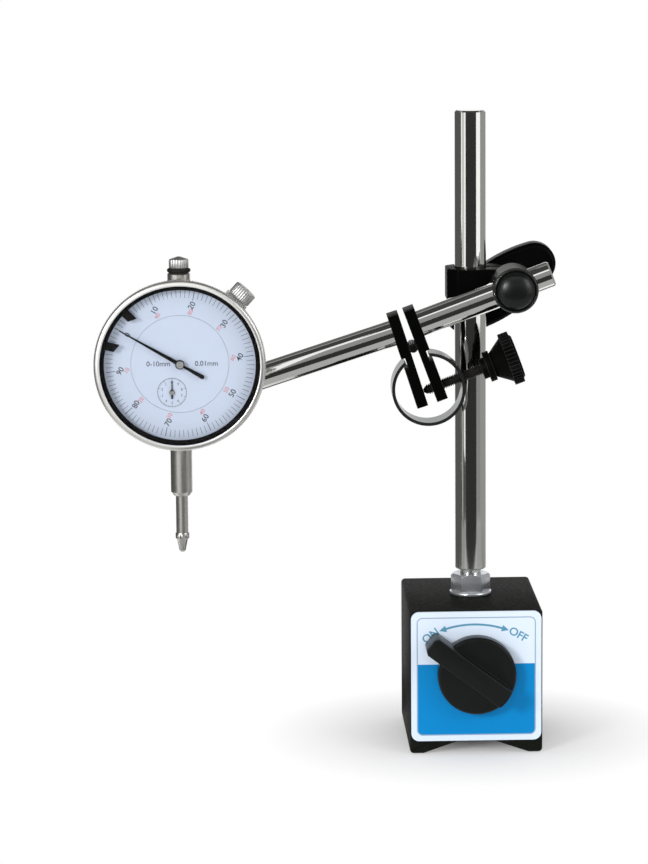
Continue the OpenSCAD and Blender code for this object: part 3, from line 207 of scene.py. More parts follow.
class Shader(Graph):
    """One material's node tree with its Principled surface."""

    def __init__(self, name: str) -> None:
        """Starts a material with an empty surface.

        Args:
            name: The material's name.
        """
        self.material = bpy.data.materials.new(name)
        self.material.use_nodes = True
        super().__init__(self.material.node_tree)
        self.tree.nodes.clear()
        self.surface = self.tree.nodes.new("ShaderNodeBsdfPrincipled")
        self.output = self.tree.nodes.new("ShaderNodeOutputMaterial")
        self.tree.links.new(self.surface.outputs[0], self.output.inputs["Surface"])

    def coat(self, **sockets: Feed) -> None:
        """Feeds the surface's own sockets, with underscores for the spaces in their names."""
        self.feed(self.surface, {key.replace("_", " "): value for key, value in sockets.items()})

    def glow(self, level: float) -> Signal:
        """A surface that shines evenly."""
        return self.node("Emission", {}, {"Color": (level, level, level, 1), "Strength": 1.0})

    def where(self, turn: Place = (0, 0, 0), stretch: Place = (1, 1, 1)) -> Signal:
        """Object coordinates in millimetres.

        Args:
            turn: Turn of the pattern.
            stretch: Scale along each axis after the turn.

        Returns:
            The coordinates.
        """
        raw = self.node("TexCoord", {}, {}, "Object")
        return self.node("Mapping", {"vector_type": "TEXTURE"}, {
            "Vector": raw, "Rotation": [math.radians(a) for a in turn],
            "Scale": [MM / s for s in stretch]})

    def noise(self, at: Signal, scale: float, detail: float = 3.0, rough: float = 0.5) -> Signal:
        """Smooth noise from 0 to 1 over the given coordinates."""
        return self.node("TexNoise", {}, {
            "Vector": at, "Scale": scale, "Detail": detail, "Roughness": rough}, "Fac")

    def ramp(self, value: Signal, low: float, high: float) -> Signal:
        """A signal that rises from 0 at low to 1 at high."""
        return self.node("MapRange", {}, {"Value": value, "From Min": low, "From Max": high})

    def blend(self, share: Feed, first: Feed, second: Feed) -> Signal:
        """A colour between two colours."""
        wide = [c if isinstance(c, Signal) else (*c, 1.0) for c in (first, second)]
        return self.node("Mix", {"data_type": "RGBA"}, {0: share, 6: wide[0], 7: wide[1]}, 2)

    def edges(self, width: float) -> Signal:
        """Finds outward edges.

        Args:
            width: Distance within which an edge is felt.

        Returns:
            1 along an edge, falling to 0 within the width.
        """
        eased = self.node("Bevel", {"samples": 6}, {"Radius": width * MM})
        level, point = (self.node("NewGeometry", {}, {}, out) for out in ("Normal", "Pointiness"))
        alike = self.node("VectorMath", {"operation": "DOT_PRODUCT"}, {0: eased, 1: level}, "Value")
        return self.ramp(1 - alike, 0.01, 0.16) * self.ramp(point, 0.5, 0.54)

    def bump(self, height: Signal, depth: float, strength: float) -> Signal:
        """Normals of a relief of some depth, of which a share shows."""
        return self.node("Bump", {}, {
            "Height": height, "Distance": depth * MM, "Strength": strength})


@dataclass(frozen=True)
class Finish:
    """A surface finish, made into a material once and shared."""

    name: str
    colour: Colour
    made: ClassVar[dict[str, bpy.types.Material]] = {}

    def shade(self, factor: float) -> list[float]:
        """The colour made darker or paler."""
        return [c * factor for c in self.colour]

    def dress(self, shader: Shader) -> None:
        """Draws the finish into the shader."""
        raise NotImplementedError

    def cover(self, obj: Solid) -> None:
        """Gives an object just this finish.

        Args:
            obj: The object.
        """
        if self.name not in Finish.made:
            shader = Shader(self.name)
            self.dress(shader)
            Finish.made[self.name] = shader.material
        obj.data.materials.clear()
        obj.data.materials.append(Finish.made[self.name])


@dataclass(frozen=True)
class Plate(Finish):
    """Polished or satin plating with faint smears and hairline scratches."""

    gloss: float = 0.06
    smear: float = 0.05
    scratch: float = 0.002
    metal: float = 1.0
    rim: float = 1.0

    def dress(self, shader: Shader) -> None:
        """Draws the smears and scratches.

        Args:
            shader: The shader.
        """
        cloud = shader.noise(shader.where(), 0.09)
        fine = shader.noise(shader.where(stretch=(2.0, 2.0, 0.15)), 3.0, 2.0)
        smears = self.smear * shader.ramp(cloud, 0.35, 0.75)
        shader.coat(Metallic=self.metal, IOR=2.0, Specular_Tint=(self.rim, self.rim, self.rim, 1.0),
                    Base_Color=shader.blend(cloud, self.colour, self.shade(0.93)),
                    Roughness=self.gloss + smears + 0.03 * fine,
                    Normal=shader.bump(fine, self.scratch, 0.4))


class Lathe(Enum):
    """The stretch of a lathe's rings about the axis that a turned piece follows most closely."""

    ALONG_Y = (0.02, 1.0, 0.02)
    ALONG_Z = (0.02, 0.02, 1.0)


@dataclass(frozen=True)
class Turned(Finish):
    """Bare metal with the fine rings that a lathe leaves."""

    lathe: Lathe = Lathe.ALONG_Y
    gloss: float = 0.22
    ring: float = 0.006
    rim: float = 1.0

    def dress(self, shader: Shader) -> None:
        """Draws the rings and a little staining.

        Args:
            shader: The shader.
        """
        rings = shader.noise(shader.where(stretch=self.lathe.value), 9.0, rough=0.6)
        stain = shader.noise(shader.where(), 0.35)
        shader.coat(Metallic=1.0, Specular_Tint=(self.rim, self.rim, self.rim, 1.0),
                    Base_Color=shader.blend(stain, self.colour, self.shade(0.8)),
                    Roughness=self.gloss + 0.12 * rings + 0.06 * stain,
                    Normal=shader.bump(rings, self.ring, 0.5))


@dataclass(frozen=True)
class WrinklePaint(Finish):
    """Baked paint with a fine wrinkled skin, with painted highlights on its crests and on its
    scuffed edges.
    """

    grain: float = 1.1
    depth: float = 0.09
    wear: float = 0.0
    shine: float = 0.25

    def dress(self, shader: Shader) -> None:
        """Draws the wrinkles, their crests painted lighter as a painted highlight, and edges
        painted lighter as scuffing and as a painted highlight.

        Args:
            shader: The shader.
        """
        at = shader.where()
        warp = shader.noise(at, 0.8 * self.grain, 2.0)
        cells = shader.node("TexVoronoi", {"feature": "SMOOTH_F1"}, {
            "Vector": at, "Scale": 1.7 * self.grain, "Randomness": 1.0, "Smoothness": 0.6},
            "Distance")
        height = 0.6 * (1 - cells) + 0.5 * warp
        crest = shader.ramp(height, 0.5, 0.95)
        dust = shader.noise(at, 0.12, 4.0)
        # Wrinkle crests are painted lighter, a painted highlight; dust lightens the tone at random.
        paint = shader.blend(0.55 * crest + 0.35 * dust, self.colour, self.shade(2.3))
        # Edges are painted pale grey, as scuffing and as a painted highlight.
        worn_and_highlit_edges = self.wear * shader.edges(0.8) * shader.ramp(dust, 0.3, 0.6)
        shader.coat(Base_Color=shader.blend(worn_and_highlit_edges, paint, tint(150, 150, 146)),
                    Roughness=0.62 - 0.18 * crest, Specular_IOR_Level=self.shine,
                    Normal=shader.bump(height, self.depth, 0.85))


@dataclass(frozen=True)
class BlackOxide(Finish):
    """Oiled black oxide on ground steel, with a faint grind."""

    gloss: float = 0.34
    shine: float = 0.015

    def dress(self, shader: Shader) -> None:
        """Draws the grind, the oil's sheen, partly painted lighter into the colour, and edges
        painted lighter as scuffing and as a painted highlight.

        Args:
            shader: The shader.
        """
        grind = shader.noise(shader.where((0, 20, 0), (0.12, 1.0, 2.2)), 4.0, 2.0)
        oil = shader.noise(shader.where(), 0.22)
        # Edges are painted grey, as scuffing and as a painted highlight.
        worn_and_highlit_edges = shader.blend(0.3 * shader.edges(0.5), self.colour, tint(120, 118, 112))
        # Oily patches are glossier and also painted lighter, a painted sheen.
        shader.coat(Base_Color=shader.blend(0.5 * oil, worn_and_highlit_edges, self.shade(1.7)),
                    Roughness=self.gloss + 0.18 * grind - 0.08 * oil, Specular_IOR_Level=self.shine,
                    Normal=shader.bump(grind, 0.006, 0.5))


@dataclass(frozen=True)
class MouldedPlastic(Finish):
    """Moulded plastic with a fine spark texture and edges painted light grey as rubbing and as a
    painted glint.
    """

    gloss: float = 0.36
    grain: float = 0.012
    shine: float = 0.1
    rub: float = 0.5

    def dress(self, shader: Shader) -> None:
        """Draws the moulded grain and the edges painted light grey as rubbing and as a painted
        glint.

        Args:
            shader: The shader.
        """
        at = shader.where()
        spark, flow = shader.noise(at, 3.2), shader.noise(at, 0.16)
        edge = shader.edges(0.5)
        # Edges are painted light grey, as rubbing and as a painted glint.
        rubbed_and_glinting = shader.blend(self.rub * edge, self.colour, tint(112, 114, 116))
        shader.coat(Base_Color=shader.blend(0.4 * flow, rubbed_and_glinting, self.shade(1.6)),
                    Roughness=self.gloss + 0.14 * flow - 0.1 * edge, Specular_IOR_Level=self.shine,
                    Normal=shader.bump(spark, self.grain, 0.6))


@dataclass(frozen=True)
class Enamel(Finish):
    """Smooth dial or label enamel with a barely mottled tone."""

    gloss: float = 0.38
    shine: float = 0.3

    def dress(self, shader: Shader) -> None:
        """Draws the mottle.

        Args:
            shader: The shader.
        """
        mottle = shader.noise(shader.where(), 0.25)
        peel = shader.noise(shader.where(), 2.0, 2.0)
        shader.coat(Base_Color=shader.blend(0.5 * mottle, self.colour, self.shade(0.95)),
                    Roughness=self.gloss + 0.08 * mottle, Specular_IOR_Level=self.shine,
                    Normal=shader.bump(peel, 0.004, 0.4))


@dataclass(frozen=True)
class PrintInk(Finish):
    """Screen-printed ink with slightly uneven cover."""

    def dress(self, shader: Shader) -> None:
        """Draws the uneven cover.

        Args:
            shader: The shader.
        """
        cover = shader.noise(shader.where(), 2.5)
        pale = [c + (0.6 - c) * 0.14 for c in self.colour]
        shader.coat(Base_Color=shader.blend(shader.ramp(cover, 0.35, 0.75), self.colour, pale),
                    Roughness=0.5 + 0.15 * cover, Specular_IOR_Level=0.35)


@dataclass(frozen=True)
class Clear(Finish):
    """Clear moulded acrylic, with a few soft smears."""

    veil: float = 0.05

    def dress(self, shader: Shader) -> None:
        """Draws the clear sheet.

        Args:
            shader: The shader.
        """
        smear = shader.noise(shader.where(), 0.12)
        shader.coat(Base_Color=(*self.colour, 1.0), Alpha=self.veil, IOR=1.49,
                    Roughness=0.03 + 0.06 * smear, Specular_IOR_Level=0.5)
        shader.material.surface_render_method = "BLENDED"


@dataclass(frozen=True)
class Rubber(Finish):
    """Soft black rubber with a dull bloom."""

    def dress(self, shader: Shader) -> None:
        """Draws the bloom.

        Args:
            shader: The shader.
        """
        bloom = shader.noise(shader.where(), 1.4)
        shader.coat(Base_Color=shader.blend(0.4 * bloom, self.colour, self.shade(2.2)),
                    Roughness=0.55 + 0.2 * bloom, Specular_IOR_Level=0.35,
                    Normal=shader.bump(bloom, 0.02, 0.5))


CHROME = Plate("polished_chrome", (0.92, 0.92, 0.89), 0.04, 0.04)
RING_CHROME = Plate("spring_steel", (0.56, 0.57, 0.58), 0.1, 0.08, rim=0.5)
BEZEL_CHROME = Plate("satin_chrome", (0.95, 0.94, 0.91), 0.34, 0.08)
ZINC = Plate("bright_zinc", (0.80, 0.83, 0.87), 0.2, 0.16, scratch=0.006, metal=0.85)
WASHER_STEEL = Plate("washer_zinc", (0.84, 0.87, 0.90), 0.2, 0.12, metal=0.85)
KNURL_STEEL = Plate("knurled_steel", (0.64, 0.64, 0.63), 0.38, 0.1)
STEM_STEEL = Turned("turned_steel", (0.74, 0.73, 0.69), Lathe.ALONG_Z, 0.2, ring=0.001)
SCREW_STEEL = Turned("screw_steel", (0.58, 0.58, 0.57), gloss=0.28)
BACK_STEEL = Turned("back_cover_steel", (0.62, 0.63, 0.63), gloss=0.26)
HUB_STEEL = Turned("hub_steel", (0.66, 0.67, 0.66), gloss=0.2)
SLEEVE_STEEL = Turned("sleeve_steel", (0.44, 0.44, 0.43), gloss=0.2, rim=0.3)
BRASS = Turned("movement_brass", (0.62, 0.45, 0.18), gloss=0.24)
BLUE_STEEL = Turned("blued_spring", (0.05, 0.09, 0.24), gloss=0.2)
MAGNET = WrinklePaint("sintered_magnet", tint(58, 58, 60), grain=2.4, depth=0.02)
# The base's edges get a painted highlight together with the scuffing.
BASE_PAINT = WrinklePaint("wrinkle_paint", tint(17, 19, 15), 0.7, 0.07, wear=0.6, shine=0.05)
OXIDE = BlackOxide("black_oxide", tint(4, 5, 4))
SCREW_BLACK = BlackOxide("screw_black", tint(9, 9, 9), gloss=0.3, shine=0.1)
# The knob's edges get the full painted glint.
KNOB_PLASTIC = MouldedPlastic("knob_plastic", tint(18, 21, 20), 0.26, shine=0.22, rub=1.0)
CAP_PLASTIC = MouldedPlastic("cap_plastic", tint(15, 18, 16), 0.2, 0.005, shine=0.4, rub=0.0)
GRIP_PLASTIC = MouldedPlastic("grip_plastic", tint(6, 6, 5), 0.42, shine=0.04, rub=0.3)
RING_PLASTIC = MouldedPlastic("dial_ring_plastic", tint(10, 9, 8), 0.45, rub=0.1)
HANDLE_PAINT = MouldedPlastic("handle_paint", tint(3, 3, 3), 0.3, 0.006, shine=0.06, rub=0.3)
POINTER_LACQUER = MouldedPlastic("pointer_lacquer", tint(12, 14, 17), 0.3, 0.003, rub=0.1)
DIAL_ENAMEL = Enamel("dial_enamel", tint(203, 215, 235))
LABEL_WHITE = Enamel("label_white", tint(221, 234, 250), gloss=0.26, shine=0.12)
LABEL_BLUE = Enamel("label_blue", tint(6, 134, 202), gloss=0.26, shine=0.12)
TEAL_INK = PrintInk("teal_ink", tint(72, 146, 178))
BLACK_INK = PrintInk("black_ink", tint(44, 48, 58))
RED_INK = PrintInk("red_ink", tint(212, 140, 154))
GREY_INK = PrintInk("grey_ink", tint(78, 86, 104))
BORDER_INK = PrintInk("border_ink", tint(142, 166, 190))
ACRYLIC = Clear("clear_acrylic", (0.03, 0.03, 0.035))
O_RING = Rubber("o_ring_rubber", tint(14, 14, 14))


@dataclass(frozen=True)
class Spot:
    """A place and turn for a piece that is modelled about its own axis."""

    origin: Vector
    axis: Vector
    side: Vector = RIGHT

    def matrix(self) -> Matrix:
        """Works out the spot's matrix.

        Returns:
            The matrix that carries local Z to the axis and local X towards the side.
        """
        up = self.axis.normalized()
        right = (self.side - up * self.side.dot(up)).normalized()
        turned = Matrix((right, up.cross(right), up)).transposed().to_4x4()
        return Matrix.Translation(self.origin * MM) @ turned


@dataclass(frozen=True)
class Knurl:
    """Straight ridges round a turned rim, between two heights."""

    ridges: int
    radius: float
    low: float
    high: float
    depth: float
    slack: ClassVar[float] = 0.01

    def groove(self, place: Vector) -> bool:
        """Tests a vertex of the turned piece.

        Args:
            place: The vertex's place.

        Returns:
            Whether it lies in a groove, as every second row of the rim does.
        """
        on_rim = abs(math.hypot(place.x, place.y) - self.radius) < 2 * self.slack
        in_band = self.low - self.slack < place.z < self.high + self.slack
        row = round(math.atan2(place.y, place.x) * self.ridges / math.pi)
        return on_rim and in_band and row % 2 == 1


class Bench:
    """Modelling by operators, one new object at a time, with everything else deselected."""

    @staticmethod
    def leave() -> None:
        """Leaves edit mode."""
        bpy.ops.object.mode_set(mode="OBJECT")

    @staticmethod
    def clear() -> None:
        """Leaves edit mode, if it is on, and deselects everything."""
        if bpy.context.object is not None and bpy.context.object.mode != "OBJECT":
            Bench.leave()
        bpy.ops.object.select_all(action="DESELECT")

    @staticmethod
    def pick(*objects: Solid) -> None:
        """Selects just these objects and makes the first one active.

        Args:
            objects: The objects.
        """
        Bench.clear()
        for obj in objects:
            obj.select_set(True)
        bpy.context.view_layer.objects.active = objects[0]

    @staticmethod
    def edit(obj: Solid) -> None:
        """Opens one object in edit mode with all of it selected.

        Args:
            obj: The object.
        """
        Bench.pick(obj)
        bpy.ops.object.mode_set(mode="EDIT")
        bpy.ops.mesh.select_mode(type="VERT")
        bpy.ops.mesh.select_all(action="SELECT")

    @staticmethod
    def choose(obj: Solid, wanted: Callable[[Vector], bool]) -> None:
        """Opens an object in edit mode with some of its vertices selected.

        Args:
            obj: The object to select in.
            wanted: Test of a vertex's place.
        """
        Bench.edit(obj)
        bpy.ops.mesh.select_all(action="DESELECT")
        Bench.leave()
        for vertex in obj.data.vertices:
            vertex.select = wanted(vertex.co / MM)
        bpy.ops.object.mode_set(mode="EDIT")

    @staticmethod
    def apply(obj: Solid) -> None:
        """Keeps an object's place, turn and size in its mesh."""
        Bench.pick(obj)
        bpy.ops.object.transform_apply(location=True, rotation=True, scale=True)

    @staticmethod
    def draw(name: str, points: Sequence[Point]) -> Solid:
        """Draws a line from point to point in the local XZ plane, from one vertex.

        Args:
            name: Name of the new object.
            points: Radius and height of each point.

        Returns:
            The object, in edit mode.
        """
        Bench.clear()
        bpy.ops.mesh.primitive_plane_add(size=MM)
        obj = bpy.context.object
        obj.name = name
        Bench.edit(obj)
        bpy.ops.mesh.merge(type="CENTER")
        bpy.ops.transform.translate(value=(points[0][0] * MM, 0, points[0][1] * MM))
        for before, after in zip(points, points[1:]):
            step = ((after[0] - before[0]) * MM, 0, (after[1] - before[1]) * MM)
            bpy.ops.mesh.extrude_region_move(TRANSFORM_OT_translate={"value": step})
        return obj

    @staticmethod
    def weld() -> None:
        """Selects all of the mesh in edit mode and merges its doubled vertices."""
        bpy.ops.mesh.select_all(action="SELECT")
        bpy.ops.mesh.remove_doubles(threshold=WELD * MM)

    @staticmethod
    def fill() -> None:
        """Closes the outline in edit mode with a face."""
        Bench.weld()
        bpy.ops.mesh.edge_face_add()

    @staticmethod
    def close(obj: Solid) -> None:
        """Merges doubles, points the faces outwards and leaves edit mode.

        Args:
            obj: The object.
        """
        Bench.edit(obj)
        Bench.weld()
        bpy.ops.mesh.normals_make_consistent(inside=False)
        Bench.leave()

    @staticmethod
    def sweep(steps: int, angle: float, centre: Place = (0, 0, 0), axis: Place = (0, 0, 1)) -> None:
        """Sweeps the mesh round an axis by the right-hand rule, against the operator's own sense.

        Args:
            steps: Number of segments.
            angle: Angle in radians.
            centre: A point of the axis in metres.
            axis: Direction of the axis.
        """
        bpy.ops.mesh.select_all(action="SELECT")
        bpy.ops.mesh.spin(steps=steps, angle=-angle, center=centre, axis=axis)

    @staticmethod
    def turn(name: str, points: Sequence[Point], steps: int) -> Solid:
        """Spins a profile about local Z into a closed turned piece.

        Args:
            name: Name of the new object.
            points: The profile; its last point repeats the first, or both lie on the axis.
            steps: Number of segments.

        Returns:
            The turned object.
        """
        obj = Bench.draw(name, points)
        Bench.sweep(steps, 2 * math.pi)
        Bench.close(obj)
        return obj

    @staticmethod
    def knurl(name: str, points: Sequence[Point], knurl: Knurl) -> Solid:
        """Turns a profile and sinks every second row of its rim, so that ridges stand between.

        Args:
            name: Name of the new object.
            points: The profile.
            knurl: The ridges.

        Returns:
            The knurled object.
        """
        obj = Bench.turn(name, points, 2 * knurl.ridges)
        Bench.choose(obj, knurl.groove)
        share = (knurl.radius - knurl.depth) / knurl.radius
        bpy.ops.transform.resize(value=(share, share, 1), center_override=(0, 0, 0))
        Bench.leave()
        return obj

    @staticmethod
    def modify(obj: Solid, kind: str, **settings: Any) -> None:
        """Adds a modifier with its settings and applies it.

        Args:
            obj: The object.
            kind: The modifier's type.
            settings: Its settings.
        """
        Bench.pick(obj)
        modifier = obj.modifiers.new(kind.lower(), kind)
        for key, value in settings.items():
            setattr(modifier, key, value)
        bpy.ops.object.modifier_apply(modifier=modifier.name)

    @staticmethod
    def settle(obj: Solid, spot: Matrix) -> None:
        """Carries an object to its place and keeps the place in its mesh."""
        obj.matrix_world = spot @ obj.matrix_world
        Bench.apply(obj)

    @staticmethod
    def join(name: str, objects: Sequence[Solid]) -> Solid:
        """Joins objects into one of that name.

        Args:
            name: Name of the joined object.
            objects: Two objects or more.

        Returns:
            The joined object.
        """
        Bench.pick(*objects)
        bpy.ops.object.join()
        objects[0].name = name
        return objects[0]

    @staticmethod
    def word(text: str, height: float, weight: float) -> Solid:
        """Sets a word flat in the local XY plane, centred and as high as given.

        Args:
            text: The word.
            height: Height of its letters.
            weight: Growth of the outline as a share of the type's size.

        Returns:
            The word as a mesh.
        """
        Bench.clear()
        bpy.ops.object.text_add()
        curve = bpy.context.object.data
        curve.body, curve.resolution_u, curve.offset = text, 4, weight
        bpy.ops.object.convert(target="MESH")
        obj = bpy.context.object
        Bench.edit(obj)
        bpy.ops.mesh.remove_doubles(threshold=TYPE_WELD)
        bpy.ops.mesh.extrude_region_move(TRANSFORM_OT_translate={"value": (0, 0, 1)})
        Bench.close(obj)
        Bench.pick(obj)
        bpy.ops.object.origin_set(type="ORIGIN_GEOMETRY", center="BOUNDS")
        obj.location = (0, 0, 0)
        share = height * MM / obj.dimensions.y
        obj.scale = (share, share, TYPE_INK * MM)
        Bench.apply(obj)
        return obj

    @staticmethod
    def words(name: str, places: Iterable[tuple[str, float, float, float]], height: float,
              weight: float = 0.0) -> Solid:
        """Sets words in the local XY plane and joins them.

        Args:
            name: Name of the piece.
            places: Text, X, Y and turn of each word.
            height: Height of the letters.
            weight: Growth of the outline as a share of the type's size.

        Returns:
            All the words in one piece.
        """
        made = []
        for text, across, up, turn in places:
            made.append(Bench.word(text, height, weight))
            made[-1].location = (across * MM, up * MM, 0)
            made[-1].rotation_euler = (0, 0, math.radians(turn))
        joined = Bench.join(name, made)
        Bench.apply(joined)
        return joined

    @staticmethod
    def numerals(name: str, values: Mapping[float, int], radius: float, height: float,
                 weight: float = 0.0) -> Solid:
        """Sets upright numerals in a circle about local Z.

        Args:
            name: Name of the piece.
            values: Angle from local Y of each numeral, and its number.
            radius: Radius of the numerals' middles.
            height: Height of the numerals.
            weight: Growth of the outline as a share of the type's size.

        Returns:
            All the numerals in one piece.
        """
        turns = {math.radians(angle): str(value) for angle, value in values.items()}
        return Bench.words(name, [
            (text, radius * math.sin(turn), radius * math.cos(turn), 0)
            for turn, text in turns.items()], height, weight)

    @staticmethod
    def ticks(name: str, count: int, width: float, length: float, outer: float,
              level: float = 0.0, taper: float = 1.0) -> Solid:
        """Models one flat tick and repeats it around local Z.

        Args:
            name: Name of the piece.
            count: Number of ticks.
            width: Width of a tick at its outer end.
            length: Length of a tick.
            outer: Radius of its outer end.
            level: Height of its middle.
            taper: Width at its inner end as a share of the other.

        Returns:
            All the ticks in one piece.
        """
        Bench.clear()
        bpy.ops.mesh.primitive_cube_add(size=MM)
        obj = bpy.context.object
        obj.name = name
        obj.scale = (width, length, INK)
        obj.location = (0, (outer - length / 2) * MM, level * MM)
        Bench.apply(obj)
        Bench.choose(obj, lambda place: place.y < outer - length / 2)
        bpy.ops.transform.resize(value=(taper, 1, 1), center_override=(0, (outer - length) * MM, 0))
        Bench.clear()
        bpy.ops.object.empty_add(rotation=(0, 0, 2 * math.pi / count))
        pivot = bpy.context.object
        Bench.modify(obj, "ARRAY", count=count, use_relative_offset=False, use_object_offset=True,
                     offset_object=pivot)
        bpy.data.objects.remove(pivot)
        return obj


class Stand:
    """The loaded frame, and how pieces and solids are dressed on it."""

    def __init__(self) -> None:
        """Loads the frame and keeps its solids, joints and outer box."""
        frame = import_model()
        record = frame["record"]
        self.nodes: dict[str, Solid] = frame["nodes"]
        self.joints: dict[str, dict[str, Any]] = {joint["name"]: joint for joint in frame["joints"]}
        self.body_of: dict[str, str] = {
            node: body for body, nodes in record["behaviour"]["bodies"].items() for node in nodes}
        self.slot_of: dict[str, str] = {
            part["node"]: part["material_slot"] for part in record["subparts"]}
        self.solid_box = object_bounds()

    def pivot(self, joint: str) -> Vector:
        """A hinge's place."""
        return Vector(self.joints[joint]["pos_m"]) / MM

    def axis(self, joint: str) -> Vector:
        """A joint's direction."""
        return Vector(self.joints[joint]["axis"])

    def box(self, node: str) -> tuple[Vector, Vector, Vector]:
        """A solid's lowest and highest corner and its middle."""
        low, high = (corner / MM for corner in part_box(node))
        return low, high, (low + high) / 2

    def front(self, node: str) -> float:
        """How far forward a solid reaches, as its lowest Y."""
        return self.box(node)[0].y

    def spot(self, joint: str, depth: float, axis: Vector = BACK) -> Spot:
        """A spot in line with a hinge, at a depth in Y and with its axis to the back or front."""
        middle = self.pivot(joint)
        return Spot(Vector((middle.x, depth, middle.z)), axis)

    def paint(self, finish: Finish, *nodes: str) -> None:
        """Gives solids a finish."""
        for node in nodes:
            finish.cover(self.nodes[node])

    def add(self, obj: Solid, finish: Finish, node: str, *replaced: str,
            smooth: float = SMOOTH) -> None:
        """Dresses a new piece and lets it ride with a solid.

        Args:
            obj: The piece, in place.
            finish: Its finish.
            node: The solid whose body carries it.
            replaced: Solids that it replaces.
            smooth: Largest angle that is shaded smooth.
        """
        finish.cover(obj)
        for face in obj.data.polygons:
            face.material_index = 0
        Bench.pick(obj)
        bpy.ops.object.shade_smooth_by_angle(angle=math.radians(smooth))
        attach(obj, self.body_of[node])
        if replaced:
            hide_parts(*replaced)
        LOG.info("piece %s on %s, %d faces", obj.name, node, len(obj.data.polygons))

    def put(self, obj: Solid, spot: Spot, finish: Finish, node: str) -> None:
        """Carries a piece that was modelled about local Z to its spot in place of a solid.

        Args:
            obj: The piece.
            spot: Its spot.
            finish: Its finish.
            node: The solid.
        """
        Bench.settle(obj, spot.matrix())
        self.add(obj, finish, node, node)

    def imprint(self, obj: Solid, spot: Matrix, ink: Finish, node: str) -> None:
        """Carries a print to its place on a solid.

        Args:
            obj: The print.
            spot: Its place.
            ink: Its finish.
            node: The solid.
        """
        Bench.settle(obj, spot)
        self.add(obj, ink, node, smooth=PRINT_SMOOTH)

    def twin(self, node: str) -> Solid:
        """Copies a solid and merges its doubled vertices.

        Args:
            node: The solid.

        Returns:
            The copy.
        """
        obj = bpy.data.objects.new(node + "_eased", self.nodes[node].data.copy())
        bpy.context.scene.collection.objects.link(obj)
        Bench.edit(obj)
        bpy.ops.mesh.remove_doubles(threshold=FRAME_WELD * MM)
        Bench.leave()
        return obj

    def ease(self, finish: Finish, width: float, node: str, *others: str, segments: int = 3,
             weld: float = FRAME_WELD,
             shows: Callable[[Vector], bool] = lambda place: True) -> None:
        """Stands a copy with rounded edges in place of a solid, or of several under one skin.

        Args:
            finish: The copy's finish.
            width: Width of the rounding.
            node: The solid.
            others: Solids of the same body that are joined to it.
            segments: Faces across the rounding.
            weld: Vertices this close are merged first, as a short edge holds the rounding back.
            shows: Test of a place; an edge is rounded if both its ends pass.
        """
        obj = self.twin(node)
        for other in others:
            tool = self.twin(other)
            Bench.modify(obj, "BOOLEAN", operation="UNION", object=tool, solver="EXACT")
            bpy.data.objects.remove(tool)
        Bench.edit(obj)
        bpy.ops.mesh.remove_doubles(threshold=weld * MM)
        bpy.ops.mesh.dissolve_limited(angle_limit=math.radians(FLAT_ANGLE))
        bpy.ops.mesh.select_mode(type="EDGE")
        bpy.ops.mesh.select_all(action="DESELECT")
        bpy.ops.mesh.edges_select_sharp(sharpness=math.radians(SHARP_ANGLE))
        Bench.leave()
        places = [vertex.co / MM for vertex in obj.data.vertices]
        for edge in obj.data.edges:
            edge.select = edge.select and all(shows(places[end]) for end in edge.vertices)
        bpy.ops.object.mode_set(mode="EDIT")
        bpy.ops.mesh.bevel(offset=width * MM, segments=segments, affect="EDGES",
                           clamp_overlap=True, miter_outer="ARC")
        Bench.edit(obj)
        bpy.ops.mesh.dissolve_degenerate(threshold=FRAME_WELD * MM)
        Bench.leave()
        self.add(obj, finish, node, node, *others, smooth=EASED_SMOOTH)


@dataclass
class Assembly:
    """A sub-assembly on the frame."""

    stand: Stand

    def build(self) -> None:
        """Builds the sub-assembly's pieces and dresses its solids."""
        raise NotImplementedError


@dataclass
class ScalePrint(Assembly):
    """Ticks and numerals printed on the scale ring that turns with the bezel."""

    zero_angle: float = -60.0
    division: float = 3.6
    tick_outer: float = 27.2
    tick_length: float = 2.7
    tick_width: float = 0.17
    ten_length: float = 3.4
    ten_width: float = 0.24
    tick_taper: float = 0.8
    numeral_r: float = 22.0
    numeral_h: float = 2.1
    reverse_r: float = 19.5
    reverse_h: float = 1.6
    weight: float = 0.012
    lift: float = 0.02

    def build(self) -> None:
        """Prints the scale on the scale ring."""
        level = self.stand.front("scale_ring") - self.lift
        facing = self.stand.spot("bezel_turn", level, FRONT).matrix()
        spot = facing @ Matrix.Rotation(math.radians(-self.zero_angle), 4, "Z")
        ticks = [
            Bench.ticks(name, count, width, length, self.tick_outer, taper=self.tick_taper)
            for name, count, width, length in (
                ("scale_ticks", 100, self.tick_width, self.tick_length),
                ("scale_ten_ticks", 10, self.ten_width, self.ten_length))]
        tens = {self.division * value: value for value in range(0, 100, 10)}
        reverse = {self.division * value: 100 - value for value in range(10, 100, 10)}
        numerals = [
            Bench.numerals(name, values, radius, height, self.weight)
            for name, values, radius, height in (
                ("scale_numerals", tens, self.numeral_r, self.numeral_h),
                ("scale_reverse_numerals", reverse, self.reverse_r, self.reverse_h))]
        inks = (BLACK_INK, BLACK_INK, BLACK_INK, RED_INK)
        for piece, ink in zip((*ticks, *numerals), inks):
            self.stand.imprint(piece, spot, ink, "scale_ring")


